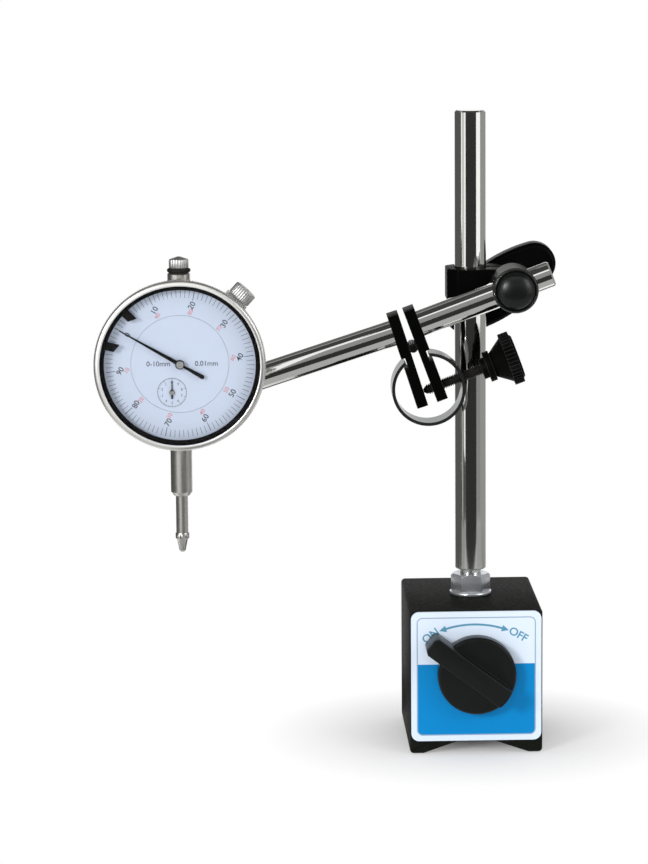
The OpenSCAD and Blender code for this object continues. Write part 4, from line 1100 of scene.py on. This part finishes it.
@dataclass
class CentrePrint(Assembly):
    """Words and the small turn counter printed on the fixed centre face."""

    word_h: float = 1.9
    word_weight: float = 0.012
    travel_x: float = -7.9
    division_x: float = 9.7
    word_z: float = 0.15
    counter_r: float = 5.4
    counter_line: float = 0.14
    digit_r: float = 3.75
    digit_h: float = 0.95
    digit_step: float = -36.0
    tick: float = 0.75
    tick_width: float = 0.13
    fine_tick: float = 0.4125
    fine_width: float = 0.07
    lift: float = 0.02

    def counter_ring(self) -> Solid:
        """Draws the counter's circle and ticks about local Z.

        Returns:
            The circle with its ticks.
        """
        outer, inner = self.counter_r, self.counter_r - self.counter_line
        ring = Bench.turn("counter_ring", [
            (inner, 0), (outer, 0), (outer, INK), (inner, INK), (inner, 0)], 96)
        ticks = [
            Bench.ticks("counter_ticks", count, width, length, inner, INK / 2)
            for count, width, length in (
                (10, self.tick_width, self.tick), (50, self.fine_width, self.fine_tick))]
        return Bench.join("counter_ring", [ring, *ticks])

    def build(self) -> None:
        """Prints the centre face."""
        level = self.stand.front("centre_face") - self.lift
        at_dial, at_counter = (self.stand.spot(joint, level, FRONT).matrix() for joint in (
            "bezel_turn", "wheel_turn"))
        words = Bench.words("dial_words", (
            ("0-10mm", self.travel_x, self.word_z, 0), ("0.01mm", self.division_x, self.word_z, 0)),
            self.word_h, self.word_weight)
        self.stand.imprint(words, at_dial, GREY_INK, "centre_face")
        digits = Bench.numerals("counter_digits", {
            self.digit_step * value: value for value in range(10)}, self.digit_r, self.digit_h)
        self.stand.imprint(digits, at_counter, BLACK_INK, "centre_face")
        self.stand.imprint(self.counter_ring(), at_counter, BLACK_INK, "centre_face")


@dataclass
class Dial(Assembly):
    """The indicator's knurled turnings and its dressed solids."""

    bezel_r: float = 31.5
    pocket_r: float = 29.8
    lip: float = 0.5
    skirt_r: float = 29.25
    bore_r: float = 28.05
    crystal_depth: float = 0.9
    scale_depth: float = 6.8
    grip_top: float = 1.35
    grip_depth: float = 3.4
    grip_edge: float = 0.26
    taper: float = 0.9
    rim_depth: float = 7.5
    skirt_depth: float = 9.8
    bezel_ridges: int = 210
    bezel_groove: float = 0.28
    hub_r: float = 1.45
    hub_h: float = 0.45
    hub_lift: float = 0.01
    counter_hub: float = 0.55
    head_r: float = 4.4
    head_h: float = 4.7
    head_seat: float = -1.1
    head_edge: float = 0.5
    head_ridges: int = 34
    head_groove: float = 0.26
    pin_r: float = 1.0
    pin_l: float = 2.55
    cap_bore: float = 1.82
    cap_neck: float = 2.82
    cap_seat: float = 1.3
    cap_edge: float = 0.35
    cap_crown: float = 1.25
    cap_roof: float = 1.4
    cap_ridges: int = 26
    cap_groove: float = 0.3
    point_l: float = 7.4
    ball_r: float = 1.3
    collar_l: float = 2.0
    collar_edge: float = 0.2
    point_ridges: int = 20
    point_groove: float = 0.2

    def bezel(self) -> None:
        """Turns the bezel with its rounded front and knurled rim."""
        r, lip_r, grip = self.bezel_r, self.pocket_r - self.lip, self.grip_depth
        low, high, waist, edge = self.grip_top, grip - 0.35, r - self.taper, self.grip_edge
        face = [(lip_r, 0.3), (lip_r + 0.12, 0.1), (lip_r + 0.3, 0.02), (lip_r + 0.5, 0.0),
                (r - 1.2, 0.08), (r - 0.8, 0.24), (r - 0.5, 0.48), (r - 0.32, 0.8), (r - edge, 1.1)]
        rim = [(r - edge, low - 0.15), (r, low), (r, high), (r - edge, high + 0.15),
               (r - 0.3, grip), (waist + 0.1, grip + 0.4), (waist, grip + 0.6),
               (waist, self.rim_depth - 0.2), (waist - 0.2, self.rim_depth)]
        skirt = [(self.skirt_r, self.rim_depth), (self.skirt_r, self.skirt_depth),
                 (self.bore_r, self.skirt_depth), (self.bore_r, self.scale_depth),
                 (self.pocket_r, self.scale_depth), (self.pocket_r, self.crystal_depth),
                 (lip_r, self.crystal_depth)]
        ring = Bench.knurl("bezel_knurled", [*face, *rim, *skirt, face[0]],
                           Knurl(self.bezel_ridges, r, low, high, self.bezel_groove))
        spot = self.stand.spot("bezel_turn", self.stand.front("bezel"))
        self.stand.put(ring, spot, BEZEL_CHROME, "bezel")

    def clamp_screw(self) -> None:
        """Turns the bezel clamp screw with its knurled head."""
        r, h, pin_r, tip = self.head_r, self.head_h, self.pin_r, -self.pin_l
        low, high = self.head_edge - 0.05, h - self.head_edge
        profile = [
            (0, tip), (pin_r - 0.2, tip), (pin_r, tip + 0.2), (pin_r, 0), (r - 0.55, 0),
            (r - 0.3, 0.12), (r, low), (r, high), (r - 0.3, h - 0.12), (r - 0.6, h), (1.3, h),
            (1.1, h - 0.25), (0, h - 0.3)]
        knurl = Knurl(self.head_ridges, r, low, high, self.head_groove)
        screw = Bench.knurl("bezel_screw_knurled", profile, knurl)
        axis = self.stand.axis("bezel_clamp")
        seat = self.stand.pivot("bezel_clamp") + axis * self.head_seat
        self.stand.put(screw, Spot(seat, axis), KNURL_STEEL, "bezel_screw")

    def spindle_cap(self) -> None:
        """Turns the knurled cap on top of the spindle."""
        low, high, middle = self.stand.box("spindle_cap")
        bore, neck, seat, top = self.cap_bore, self.cap_neck, self.cap_seat, high.z - low.z
        r, foot, crown = (high.x - low.x) / 2, seat + self.cap_edge, top - self.cap_crown
        profile = [
            (bore, 0), (neck, 0), (neck, seat), (r - self.cap_edge, seat), (r, foot), (r, crown),
            (r - 0.3, crown + 0.3), (1.6, top - 0.38), (0.6, top - 0.03), (0, top),
            (0, top - self.cap_roof), (bore, top - self.cap_roof), (bore, 0)]
        cap = Bench.knurl("spindle_cap_knurled", profile,
                          Knurl(self.cap_ridges, r, foot, crown, self.cap_groove))
        centre = Vector((self.stand.pivot("bezel_turn").x, middle.y, low.z))
        self.stand.put(cap, Spot(centre, UP), KNURL_STEEL, "spindle_cap")

    def contact(self) -> None:
        """Turns the contact point with its knurled collar and round tip."""
        low, high, middle = self.stand.box("contact_point")
        r, seat, ball, length = (high.x - low.x) / 2, self.point_l, self.ball_r, high.z - low.z
        foot, edge, stub = seat - self.collar_l, self.collar_edge, r / 2
        arc = [math.radians(angle) for angle in range(0, 91, 10)]
        profile = [
            *((ball * math.sin(angle), ball - ball * math.cos(angle)) for angle in arc),
            (r - 0.5, foot - 0.5), (r, foot), (r, seat - edge), (r - edge, seat), (stub, seat),
            (stub, length), (0, length)]
        point = Bench.knurl("contact_point_knurled", profile,
                            Knurl(self.point_ridges, r, foot, seat - edge, self.point_groove))
        foot_spot = Spot(Vector((middle.x, middle.y, low.z)), UP)
        self.stand.put(point, foot_spot, STEM_STEEL, "contact_point")

    def hubs(self) -> None:
        """Turns a bright hub with a centre pit for the main pointer, and copies it smaller."""
        r, h = self.hub_r, self.hub_h
        hub = Bench.turn("pointer_hub", [
            (0, 0), (r - 0.1, 0), (r, -0.1), (r, 0.25 - h), (r - 0.25, -h), (0.72, -h),
            (0.6, 0.12 - h), (0.4, 0.36 - h), (0, 0.38 - h)], 64)
        Bench.pick(hub)
        bpy.ops.object.duplicate()
        small = bpy.context.object
        small.name = "counter_hub"
        small.scale = (self.counter_hub,) * 3
        for piece, node, joint in (
                (hub, "main_pointer", "bezel_turn"), (small, "small_pointer", "wheel_turn")):
            spot = self.stand.spot(joint, self.stand.front(node) - self.hub_lift)
            Bench.settle(piece, spot.matrix())
            self.stand.add(piece, HUB_STEEL, node)

    def spring(self) -> None:
        """Stands in a copy of the return spring, in its place and riding with its body."""
        coil = self.stand.twin("return_spring")
        coil.name = "return_spring_coil"
        self.stand.add(coil, RING_CHROME, "return_spring", "return_spring")
        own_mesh(coil)

    def build(self) -> None:
        """Builds the dial's pieces and dresses its solids."""
        for piece in (self.bezel, self.clamp_screw, self.spindle_cap, self.contact, self.hubs,
                      self.spring, ScalePrint(self.stand).build, CentrePrint(self.stand).build):
            piece()
        paint = self.stand.paint
        paint(DIAL_ENAMEL, "scale_ring", "centre_face")
        paint(RING_PLASTIC, "crystal_ring", "limit_tab_high", "limit_tab_low")
        paint(POINTER_LACQUER, "main_pointer", "small_pointer")
        paint(ACRYLIC, "crystal")
        paint(BACK_STEEL, "case", "back_cover")
        paint(STEM_STEEL, "stem", "top_bush", "spindle")
        paint(O_RING, "cap_o_ring")
        paint(SCREW_STEEL, "back_cover_screws", "movement_screws", "guide_pin")
        paint(BRASS, "centre_pinion", "rack_wheel", "hairspring_wheel", "movement_plate",
              "movement_bridge", "pinion_cock")
        paint(BLUE_STEEL, "hairspring")


@dataclass
class LabelPrint(Assembly):
    """Print on the base's label: a switch arrow between ON and OFF above a bare blue field."""

    left: float = -24.5
    right: float = 24.5
    low: float = 4.9
    high: float = 54.5
    border_inset: float = 2.1
    border_line: float = 0.4
    border_r: float = 2.2
    field_inset: float = 2.3
    field_top: float = 34.4
    arrow_middle: Point = (-0.85, 13.6)
    arrow_r: float = 36.0
    arrow_line: float = 0.77
    arrow_half_angle: float = 17.0
    arrow_head: float = 2.7
    arrow_spread: float = 0.47
    word_h: float = 3.15
    word_weight: float = 0.018
    on_place: Place = (-17.3, 45.5, 35)
    off_place: Place = (15.9, 45.6, -30)
    field_lift: float = 0.015
    print_lift: float = 0.021

    def rounded(self, name: str, inset: float, top: float, rounded_top: bool) -> Solid:
        """A flat rectangle in the label's plane with rounded corners.

        Args:
            name: Name of the piece.
            inset: Distance from the label's edges.
            top: Height of its upper edge.
            rounded_top: Whether its upper corners are rounded too.

        Returns:
            The rectangle, in edit mode with its face selected.
        """
        x0, x1, z0 = self.left + inset, self.right - inset, self.low + inset
        obj = Bench.draw(name, [(x0, z0), (x1, z0), (x1, top), (x0, top), (x0, z0)])
        Bench.fill()
        Bench.choose(obj, lambda place: rounded_top or place.z < (z0 + top) / 2)
        bpy.ops.mesh.bevel(offset=self.border_r * MM, segments=8, affect="VERTICES")
        bpy.ops.mesh.select_all(action="SELECT")
        return obj

    def arrow(self) -> Solid:
        """The arc with a head at each end.

        Returns:
            The arrow in the label's plane.
        """
        x, z = self.arrow_middle
        angle, r = math.radians(self.arrow_half_angle), self.arrow_r
        ends = [r + side * self.arrow_line / 2 for side in (-1, 1)]
        parts = [Bench.draw("switch_arrow", [
            (x - end * math.sin(angle), z + end * math.cos(angle)) for end in ends])]
        Bench.sweep(40, 2 * angle, (x * MM, 0, z * MM), (0, 1, 0))
        for side in (-1, 1):
            out = Vector((side * math.sin(angle), math.cos(angle)))
            along = Vector((side * math.cos(angle), -math.sin(angle)))
            foot, half = Vector((x, z)) + out * r, out * (self.arrow_head * self.arrow_spread)
            tips = [foot - half, foot + along * self.arrow_head, foot + half, foot - half]
            parts.append(Bench.draw("switch_arrow_head", [tuple(tip) for tip in tips]))
            Bench.fill()
        Bench.clear()
        return Bench.join("switch_arrow", parts)

    def raise_print(self, obj: Solid, ink: Finish, lift: float) -> None:
        """Gives a flat print its thickness and carries it to the label.

        Args:
            obj: The print, drawn in the plane y = 0.
            ink: Its finish.
            lift: Height above the label.
        """
        Bench.edit(obj)
        bpy.ops.mesh.extrude_region_move(TRANSFORM_OT_translate={"value": (0, -INK * MM, 0)})
        Bench.close(obj)
        level = self.stand.front("label_plate") - lift
        self.stand.imprint(obj, Matrix.Translation((0, level * MM, 0)), ink, "label_plate")

    def build(self) -> None:
        """Prints the label."""
        blue = self.rounded("label_field", self.field_inset, self.field_top, False)
        self.raise_print(blue, LABEL_BLUE, self.field_lift)
        inset = self.border_inset
        border = self.rounded("label_border", inset, self.high - inset, True)
        bpy.ops.mesh.inset(thickness=self.border_line * MM)
        bpy.ops.mesh.delete(type="FACE")
        self.raise_print(border, BORDER_INK, self.print_lift)
        self.raise_print(self.arrow(), TEAL_INK, self.print_lift)
        words = Bench.words("switch_words", (("ON", *self.on_place), ("OFF", *self.off_place)),
                            self.word_h, self.word_weight)
        level = self.stand.front("label_plate") - self.print_lift
        self.stand.imprint(words, Spot(BACK * level, FRONT).matrix(), TEAL_INK, "label_plate")


@dataclass
class Base(Assembly):
    """The magnetic base with its label, switch knob and column nut."""

    face_y: float = 29.9
    side_x: float = 24.9
    corner_x: float = 23.4
    corner_z: float = 53.4
    groove_z: float = 9.0
    foot_z: float = 0.1
    edge: float = 0.5
    nut_edge: float = 0.35
    washer_edge: float = 0.7
    knob_weld: float = 0.1

    def shows(self, place: Vector) -> bool:
        """Tests a place on the block.

        Args:
            place: The place.

        Returns:
            Whether it lies on the block's outer edges, and not on those of its bores.
        """
        x, y = abs(place.x), abs(place.y)
        border = x > self.corner_x or place.z > self.corner_z or place.z < self.groove_z
        return (y > self.face_y and border) or place.z < self.foot_z or x > self.side_x

    def build(self) -> None:
        """Eases the base's edges, prints the label and dresses the rest."""
        stand = self.stand
        stand.ease(BASE_PAINT, self.edge, "pole_blocks", "pole_spacers", shows=self.shows)
        stand.ease(KNOB_PLASTIC, self.edge, "base_knob", weld=self.knob_weld)
        stand.ease(ZINC, self.nut_edge, "column_nut")
        stand.ease(WASHER_STEEL, self.washer_edge, "column_washer")
        LabelPrint(stand).build()
        stand.paint(LABEL_WHITE, "label_plate")
        stand.paint(BASE_PAINT, "rear_cover", "front_bush")
        stand.paint(SCREW_STEEL, "cover_screws", "rotor_shaft", "rotor_poles")
        stand.paint(MAGNET, "rotor_magnet")
        stand.paint(CHROME, "column")


@dataclass
class Clamp(Assembly):
    """The column clamp with its bolt, cap and wing handle."""

    dome_r: float = 7.2
    dome_h: float = 3.6
    plug_r: float = 6.58
    plug_l: float = 1.0
    rim_t: float = 1.4
    groove: float = 0.6
    edge: float = 0.45

    def cap(self) -> None:
        """Turns the domed cap with the groove inside its rim."""
        low, high, middle = self.stand.box("sleeve_cap")
        r, dome, plug_r, plug = (high.x - low.x) / 2, self.dome_r, self.plug_r, self.plug_l
        rim = plug + self.rim_t
        foot = rim - self.groove
        arc = [math.radians(angle) for angle in range(0, 91, 6)]
        cap = Bench.turn("sleeve_cap_domed", [
            (0, 0), (plug_r, 0), (plug_r, plug), (r - 0.15, plug), (r, plug + 0.15),
            (r, rim - 0.35), (r - 0.1, rim - 0.12), (r - 0.35, rim), (dome + 0.4, rim),
            (dome + 0.25, rim - 0.1), (dome + 0.05, foot),
            *((dome * math.cos(angle), foot + self.dome_h * math.sin(angle)) for angle in arc)], 96)
        back = Spot(Vector((middle.x, high.y, middle.z)), FRONT)
        self.stand.put(cap, back, CAP_PLASTIC, "sleeve_cap")

    def build(self) -> None:
        """Eases the clamp's black pieces and dresses the rest."""
        self.cap()
        self.stand.ease(OXIDE, self.edge, "clamp_block")
        self.stand.ease(HANDLE_PAINT, self.edge, "clamp_handle")
        self.stand.paint(SLEEVE_STEEL, "clamp_sleeve")
        self.stand.paint(SCREW_STEEL, "eye_bolt")


@dataclass
class Adjuster(Assembly):
    """The two rods and the fine adjuster between them."""

    thread_r: float = 2.0
    root_r: float = 1.5
    sink: float = 0.06
    crest: float = 0.07
    flank: float = 0.46
    pitch: float = 0.7
    tip: float = -15.1
    tip_r: float = 0.6
    tip_l: float = 1.05
    thread_start: float = -13.5
    thread_end: float = 9.0
    screw_end: float = 17.95
    roller_edge: float = 0.35
    roller_ridges: int = 18
    roller_groove: float = 0.16
    plate_edge: float = 0.3
    knob_edge: float = 0.1

    def screw(self) -> None:
        """Winds the adjusting screw's thread on its core."""
        core = Bench.turn("adjuster_screw_threaded", [
            (0, self.tip), (self.tip_r, self.tip), (self.root_r, self.tip + self.tip_l),
            (self.root_r, self.screw_end), (0, self.screw_end)], 32)
        half, root = self.flank * self.pitch, self.root_r - self.sink
        thread = Bench.draw("adjuster_thread", [
            (root, -half), (self.thread_r, -self.crest), (self.thread_r, self.crest), (root, half),
            (root, -half)])
        Bench.weld()
        bpy.ops.transform.translate(value=(0, 0, self.thread_start * MM))
        turns = int((self.thread_end - self.thread_start) / self.pitch)
        Bench.modify(thread, "SCREW", angle=2 * math.pi, screw_offset=self.pitch * MM,
                     iterations=turns, steps=24, render_steps=24, axis="Z",
                     use_normal_calculate=True)
        Bench.edit(thread)
        Bench.weld()
        bpy.ops.mesh.fill_holes(sides=0)
        Bench.close(thread)
        screw = Bench.join("adjuster_screw_threaded", [core, thread])
        spot = Spot(self.stand.pivot("screw_turn"), -self.stand.axis("screw_turn"), BACK)
        self.stand.put(screw, spot, SCREW_BLACK, "adjuster_screw")

    def roller(self) -> None:
        """Turns the knurled roller that the front plate rocks on."""
        low, high, middle = self.stand.box("pivot_roller")
        length, r, edge = high.y - low.y, (high.x - low.x) / 2, self.roller_edge
        roller = Bench.knurl("pivot_roller_knurled", [
            (0, 0), (r - edge, 0), (r, edge), (r, length - edge), (r - edge, length), (0, length)],
            Knurl(self.roller_ridges, r, edge, length - edge, self.roller_groove))
        spot = Spot(Vector((middle.x, low.y, middle.z)), BACK)
        self.stand.put(roller, spot, SCREW_BLACK, "pivot_roller")

    def build(self) -> None:
        """Builds the adjuster's pieces and dresses its solids."""
        self.screw()
        self.roller()
        self.stand.ease(OXIDE, self.plate_edge, "rear_plate")
        self.stand.ease(OXIDE, self.plate_edge, "front_plate")
        self.stand.ease(GRIP_PLASTIC, self.knob_edge, "adjuster_knob", segments=2)
        self.stand.paint(RING_CHROME, "spring_ring")
        self.stand.paint(CHROME, "rear_arm", "front_arm")


@dataclass
class Holder(Assembly):
    """The double-clevis link behind the dial with its knurled nuts."""

    swivel_bore: float = 2.52
    tilt_bore: float = 3.02
    edge: float = 0.5
    bore_edge: float = 0.4
    nut_ridges: int = 30
    nut_groove: float = 0.25
    link_edge: float = 0.3

    def nut(self, node: str, bore: float, axis: Vector) -> None:
        """Turns one knurled thumb nut.

        Args:
            node: The solid that it stands for.
            bore: Radius of its bore.
            axis: Direction of its axis.
        """
        low, high, middle = self.stand.box(node)
        size, edge = high - low, self.edge
        length = abs(size.dot(axis))
        r = (size.x + size.y + size.z - length) / 4
        nut = Bench.knurl(node + "_knurled", [
            (bore, 0), (r - edge, 0), (r, edge), (r, length - edge), (r - edge, length),
            (bore + self.bore_edge, length), (bore, length - self.bore_edge), (bore, 0)],
            Knurl(self.nut_ridges, r, edge, length - edge, self.nut_groove))
        self.stand.put(nut, Spot(middle - axis * length / 2, axis, UP), SCREW_BLACK, node)

    def build(self) -> None:
        """Builds the nuts and dresses the link."""
        self.nut("swivel_nut", self.swivel_bore, BACK)
        self.nut("tilt_nut", self.tilt_bore, RIGHT)
        self.stand.ease(ZINC, self.link_edge, "swivel_link")
        self.stand.paint(SCREW_STEEL, "swivel_bolt", "tilt_bolt")


@dataclass(frozen=True)
class Flag:
    """A curved card round the object that shows only in reflections.

    It runs between two angles to the right of the camera's side and between two heights. One that
    starts at the floor has a foot that runs inwards.
    """

    name: str
    level: float
    start: float
    end: float
    low: float
    high: float


@dataclass(frozen=True)
class Sheet:
    """A flat card that shows only in reflections, from a corner along two sides."""

    name: str
    level: float
    corner: Place
    along: Place
    across: Place


@dataclass(frozen=True)
class Lamp:
    """A soft square lamp of some power in watts, which may be left out of reflections."""

    name: str
    place: Place
    aim: Place
    size: float
    power: float
    mirrored: bool = True


@dataclass
class Studio:
    """Floor, light and camera."""

    walls: ClassVar[tuple[Flag, ...]] = (
        Flag("front_flag", 0.03, -36, 41, 0.0, 0.22), Flag("upper_flag", 0.28, -36, 41, 0.22, 0.53),
        Flag("right_flag", 0.3, 74, 147, 0.0, 0.6), Flag("left_flag", 0.09, -150, -71, 0.0, 0.6),
        Flag("low_left_foot", 0.3, -71, -36, 0.0, 0.003),
        Flag("low_left_flag", 0.08, -71, -36, 0.003, 0.1),
        Flag("low_right_foot", 0.33, 41, 74, 0.0, 0.003),
        Flag("low_right_flag", 0.25, 41, 74, 0.003, 0.1))
    sheets: ClassVar[tuple[Sheet, ...]] = (
        Sheet("ceiling_flag", 0.05, (-0.6, -0.395, 0.7), (1.2, 0, 0), (0, 0.515, 0)),
        Sheet("ceiling_strip", 0.38, (-0.6, 0.12, 0.7), (1.2, 0, 0), (0, 0.08, 0)),
        Sheet("rear_ceiling_flag", 0.13, (-0.6, 0.2, 0.7), (1.2, 0, 0), (0, 1.2, 0)),
        Sheet("front_ground_card", 0.42, (-0.25, -0.3, 0.0006), (0.5, 0, 0), (0, 0.266, 0)),
        Sheet("ground_flag", 0.03, (-0.6, 0.035, 0.0005), (1.2, 0, 0), (0, 0.065, 0)),
        Sheet("left_dial_window", 0.55, (-0.19, -0.1, 0.085), (0.08, 0, 0), (0, 0, 0.22)),
        Sheet("right_dial_window", 0.95, (-0.11, -0.1, 0.085), (0.027, 0, 0), (0, 0, 0.22)),
        Sheet("stem_window", 0.5, (-0.137, -0.066, 0.06), (0.0255, 0, 0), (0, 0, 0.056)),
        Sheet("stem_card", 0.16, (-0.1115, -0.066, 0.06), (0.027, 0, 0), (0, 0, 0.056)))
    lamps: ClassVar[tuple[Lamp, ...]] = (
        Lamp("key_lamp", (-1.0, -1.3, 0.6), (0, 0, 0.12), 0.4, 13.0),
        Lamp("fill_lamp", (0.95, -0.9, 0.7), (0, 0, 0.12), 0.7, 4.0),
        Lamp("front_lamp", (-0.1, -1.5, 0.45), (-0.05, 0, 0.12), 0.8, 3.0, mirrored=False))
    wall_r: float = 0.42
    foot_r: float = 0.3
    wall_lift: float = 0.0005
    wall_steps: int = 24
    floor_r: float = 3.0
    floor_z: float = -0.0003
    fade_start: float = 8.0
    fade_end: float = 80.0
    eye: Vector = field(default_factory=lambda: Vector((-0.0974, -1.3784, 0.3495)))
    yaw: float = 0.0303
    pitch: float = 0.1661
    roll: float = -0.0078
    lens: float = 153.48
    sensor: float = 36.0
    clip_end: float = 20.0
    ambient: float = 0.5

    def camera(self) -> None:
        """Sets the camera at the photograph's viewpoint."""
        level = Vector((math.cos(self.yaw), -math.sin(self.yaw), 0))
        flat = Vector((math.sin(self.yaw), math.cos(self.yaw), 0))
        ahead = flat * math.cos(self.pitch) - UP * math.sin(self.pitch)
        above = level.cross(ahead)
        right = level * math.cos(self.roll) + above * math.sin(self.roll)
        up = above * math.cos(self.roll) - level * math.sin(self.roll)
        Bench.clear()
        bpy.ops.object.camera_add()
        camera = bpy.context.object
        turned = Matrix((right, up, -ahead)).transposed().to_4x4()
        camera.matrix_world = Matrix.Translation(self.eye) @ turned
        camera.data.lens = self.lens
        camera.data.sensor_width = self.sensor
        camera.data.clip_end = self.clip_end
        bpy.context.scene.camera = camera

    def world(self) -> None:
        """Lights the scene evenly and shows white behind it."""
        world = bpy.data.worlds.new("studio_world")
        world.use_nodes = True
        bpy.context.scene.world = world
        graph = Graph(world.node_tree)
        level = self.ambient + (1 - self.ambient) * graph.seen()
        graph.feed(graph.tree.nodes["Background"], {"Color": (1, 1, 1, 1), "Strength": level})

    def floor(self) -> None:
        """Lays a pale round floor that fades into the white behind it."""
        Bench.clear()
        bpy.ops.mesh.primitive_circle_add(vertices=128, radius=self.floor_r, fill_type="NGON",
                                          location=(0, 0, self.floor_z))
        floor = bpy.context.object
        floor.name = "studio_floor"
        Bench.apply(floor)
        shader = Shader("floor_white")
        shader.coat(Base_Color=(0.97, 0.97, 0.97, 1), Roughness=0.7, Specular_IOR_Level=0.2)
        away = shader.node("VectorMath", {"operation": "LENGTH"}, {0: shader.where()}, "Value")
        fade = shader.ramp(away, self.fade_start, self.fade_end) * shader.seen()
        plain = Signal(shader, shader.surface.outputs[0])
        mixed = shader.node("MixShader", {}, {0: fade, 1: plain, 2: shader.glow(1)})
        shader.feed(shader.output, {"Surface": mixed})
        floor.data.materials.append(shader.material)
        floor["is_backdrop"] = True

    def hide(self, card: Solid, level: float) -> None:
        """Lets a card shine evenly and shows it in reflections only.

        Args:
            card: The card, in edit mode.
            level: Its brightness.
        """
        Bench.leave()
        shader = Shader(card.name)
        shader.feed(shader.output, {"Surface": shader.glow(level)})
        card.data.materials.append(shader.material)
        for ray in ("camera", "diffuse", "shadow", "transmission"):
            setattr(card, "visible_" + ray, False)
        card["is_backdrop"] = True

    def wall(self, flag: Flag) -> None:
        """Stands a curved card round the object.

        Args:
            flag: The card.
        """
        foot = [(self.foot_r / MM, self.wall_lift / MM)] if flag.low == 0 else []
        card = Bench.draw(flag.name, [
            *foot, (self.wall_r / MM, (flag.low + self.wall_lift) / MM),
            (self.wall_r / MM, flag.high / MM)])
        bpy.ops.mesh.select_all(action="SELECT")
        bpy.ops.transform.rotate(value=math.pi / 2 - math.radians(flag.start), orient_axis="Z",
                                 center_override=(0, 0, 0))
        Bench.sweep(self.wall_steps, math.radians(flag.end - flag.start))
        self.hide(card, flag.level)

    def sheet(self, sheet: Sheet) -> None:
        """Hangs or lays a flat card near the object.

        Args:
            sheet: The card.
        """
        card = Bench.draw(sheet.name, [(0, 0)])
        bpy.ops.transform.translate(value=sheet.corner)
        for side in (sheet.along, sheet.across):
            bpy.ops.mesh.select_all(action="SELECT")
            bpy.ops.mesh.extrude_region_move(TRANSFORM_OT_translate={"value": side})
        self.hide(card, sheet.level)

    def lamp(self, lamp: Lamp) -> None:
        """Hangs a lamp.

        Args:
            lamp: The lamp.
        """
        Bench.clear()
        bpy.ops.object.light_add(type="AREA", location=lamp.place)
        light = bpy.context.object
        light.name = lamp.name
        light.data.size = lamp.size
        light.data.energy = lamp.power
        light.visible_glossy = lamp.mirrored
        ray = Vector(lamp.aim) - Vector(lamp.place)
        light.rotation_euler = ray.to_track_quat("-Z", "Y").to_euler()

    def build(self) -> None:
        """Sets up the studio."""
        self.world()
        self.floor()
        for flag in self.walls:
            self.wall(flag)
        for sheet in self.sheets:
            self.sheet(sheet)
        for lamp in self.lamps:
            self.lamp(lamp)
        self.camera()
        bpy.context.scene.view_settings.view_transform = "Standard"


def main() -> None:
    """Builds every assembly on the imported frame."""
    logging.basicConfig(level=logging.INFO, format="%(message)s")
    stand = Stand()
    for assembly in (Base, Clamp, Adjuster, Holder, Dial):
        assembly(stand).build()
        LOG.info("built %s", assembly.__name__)
    Studio().build()


if __name__ == "__main__":
    main()
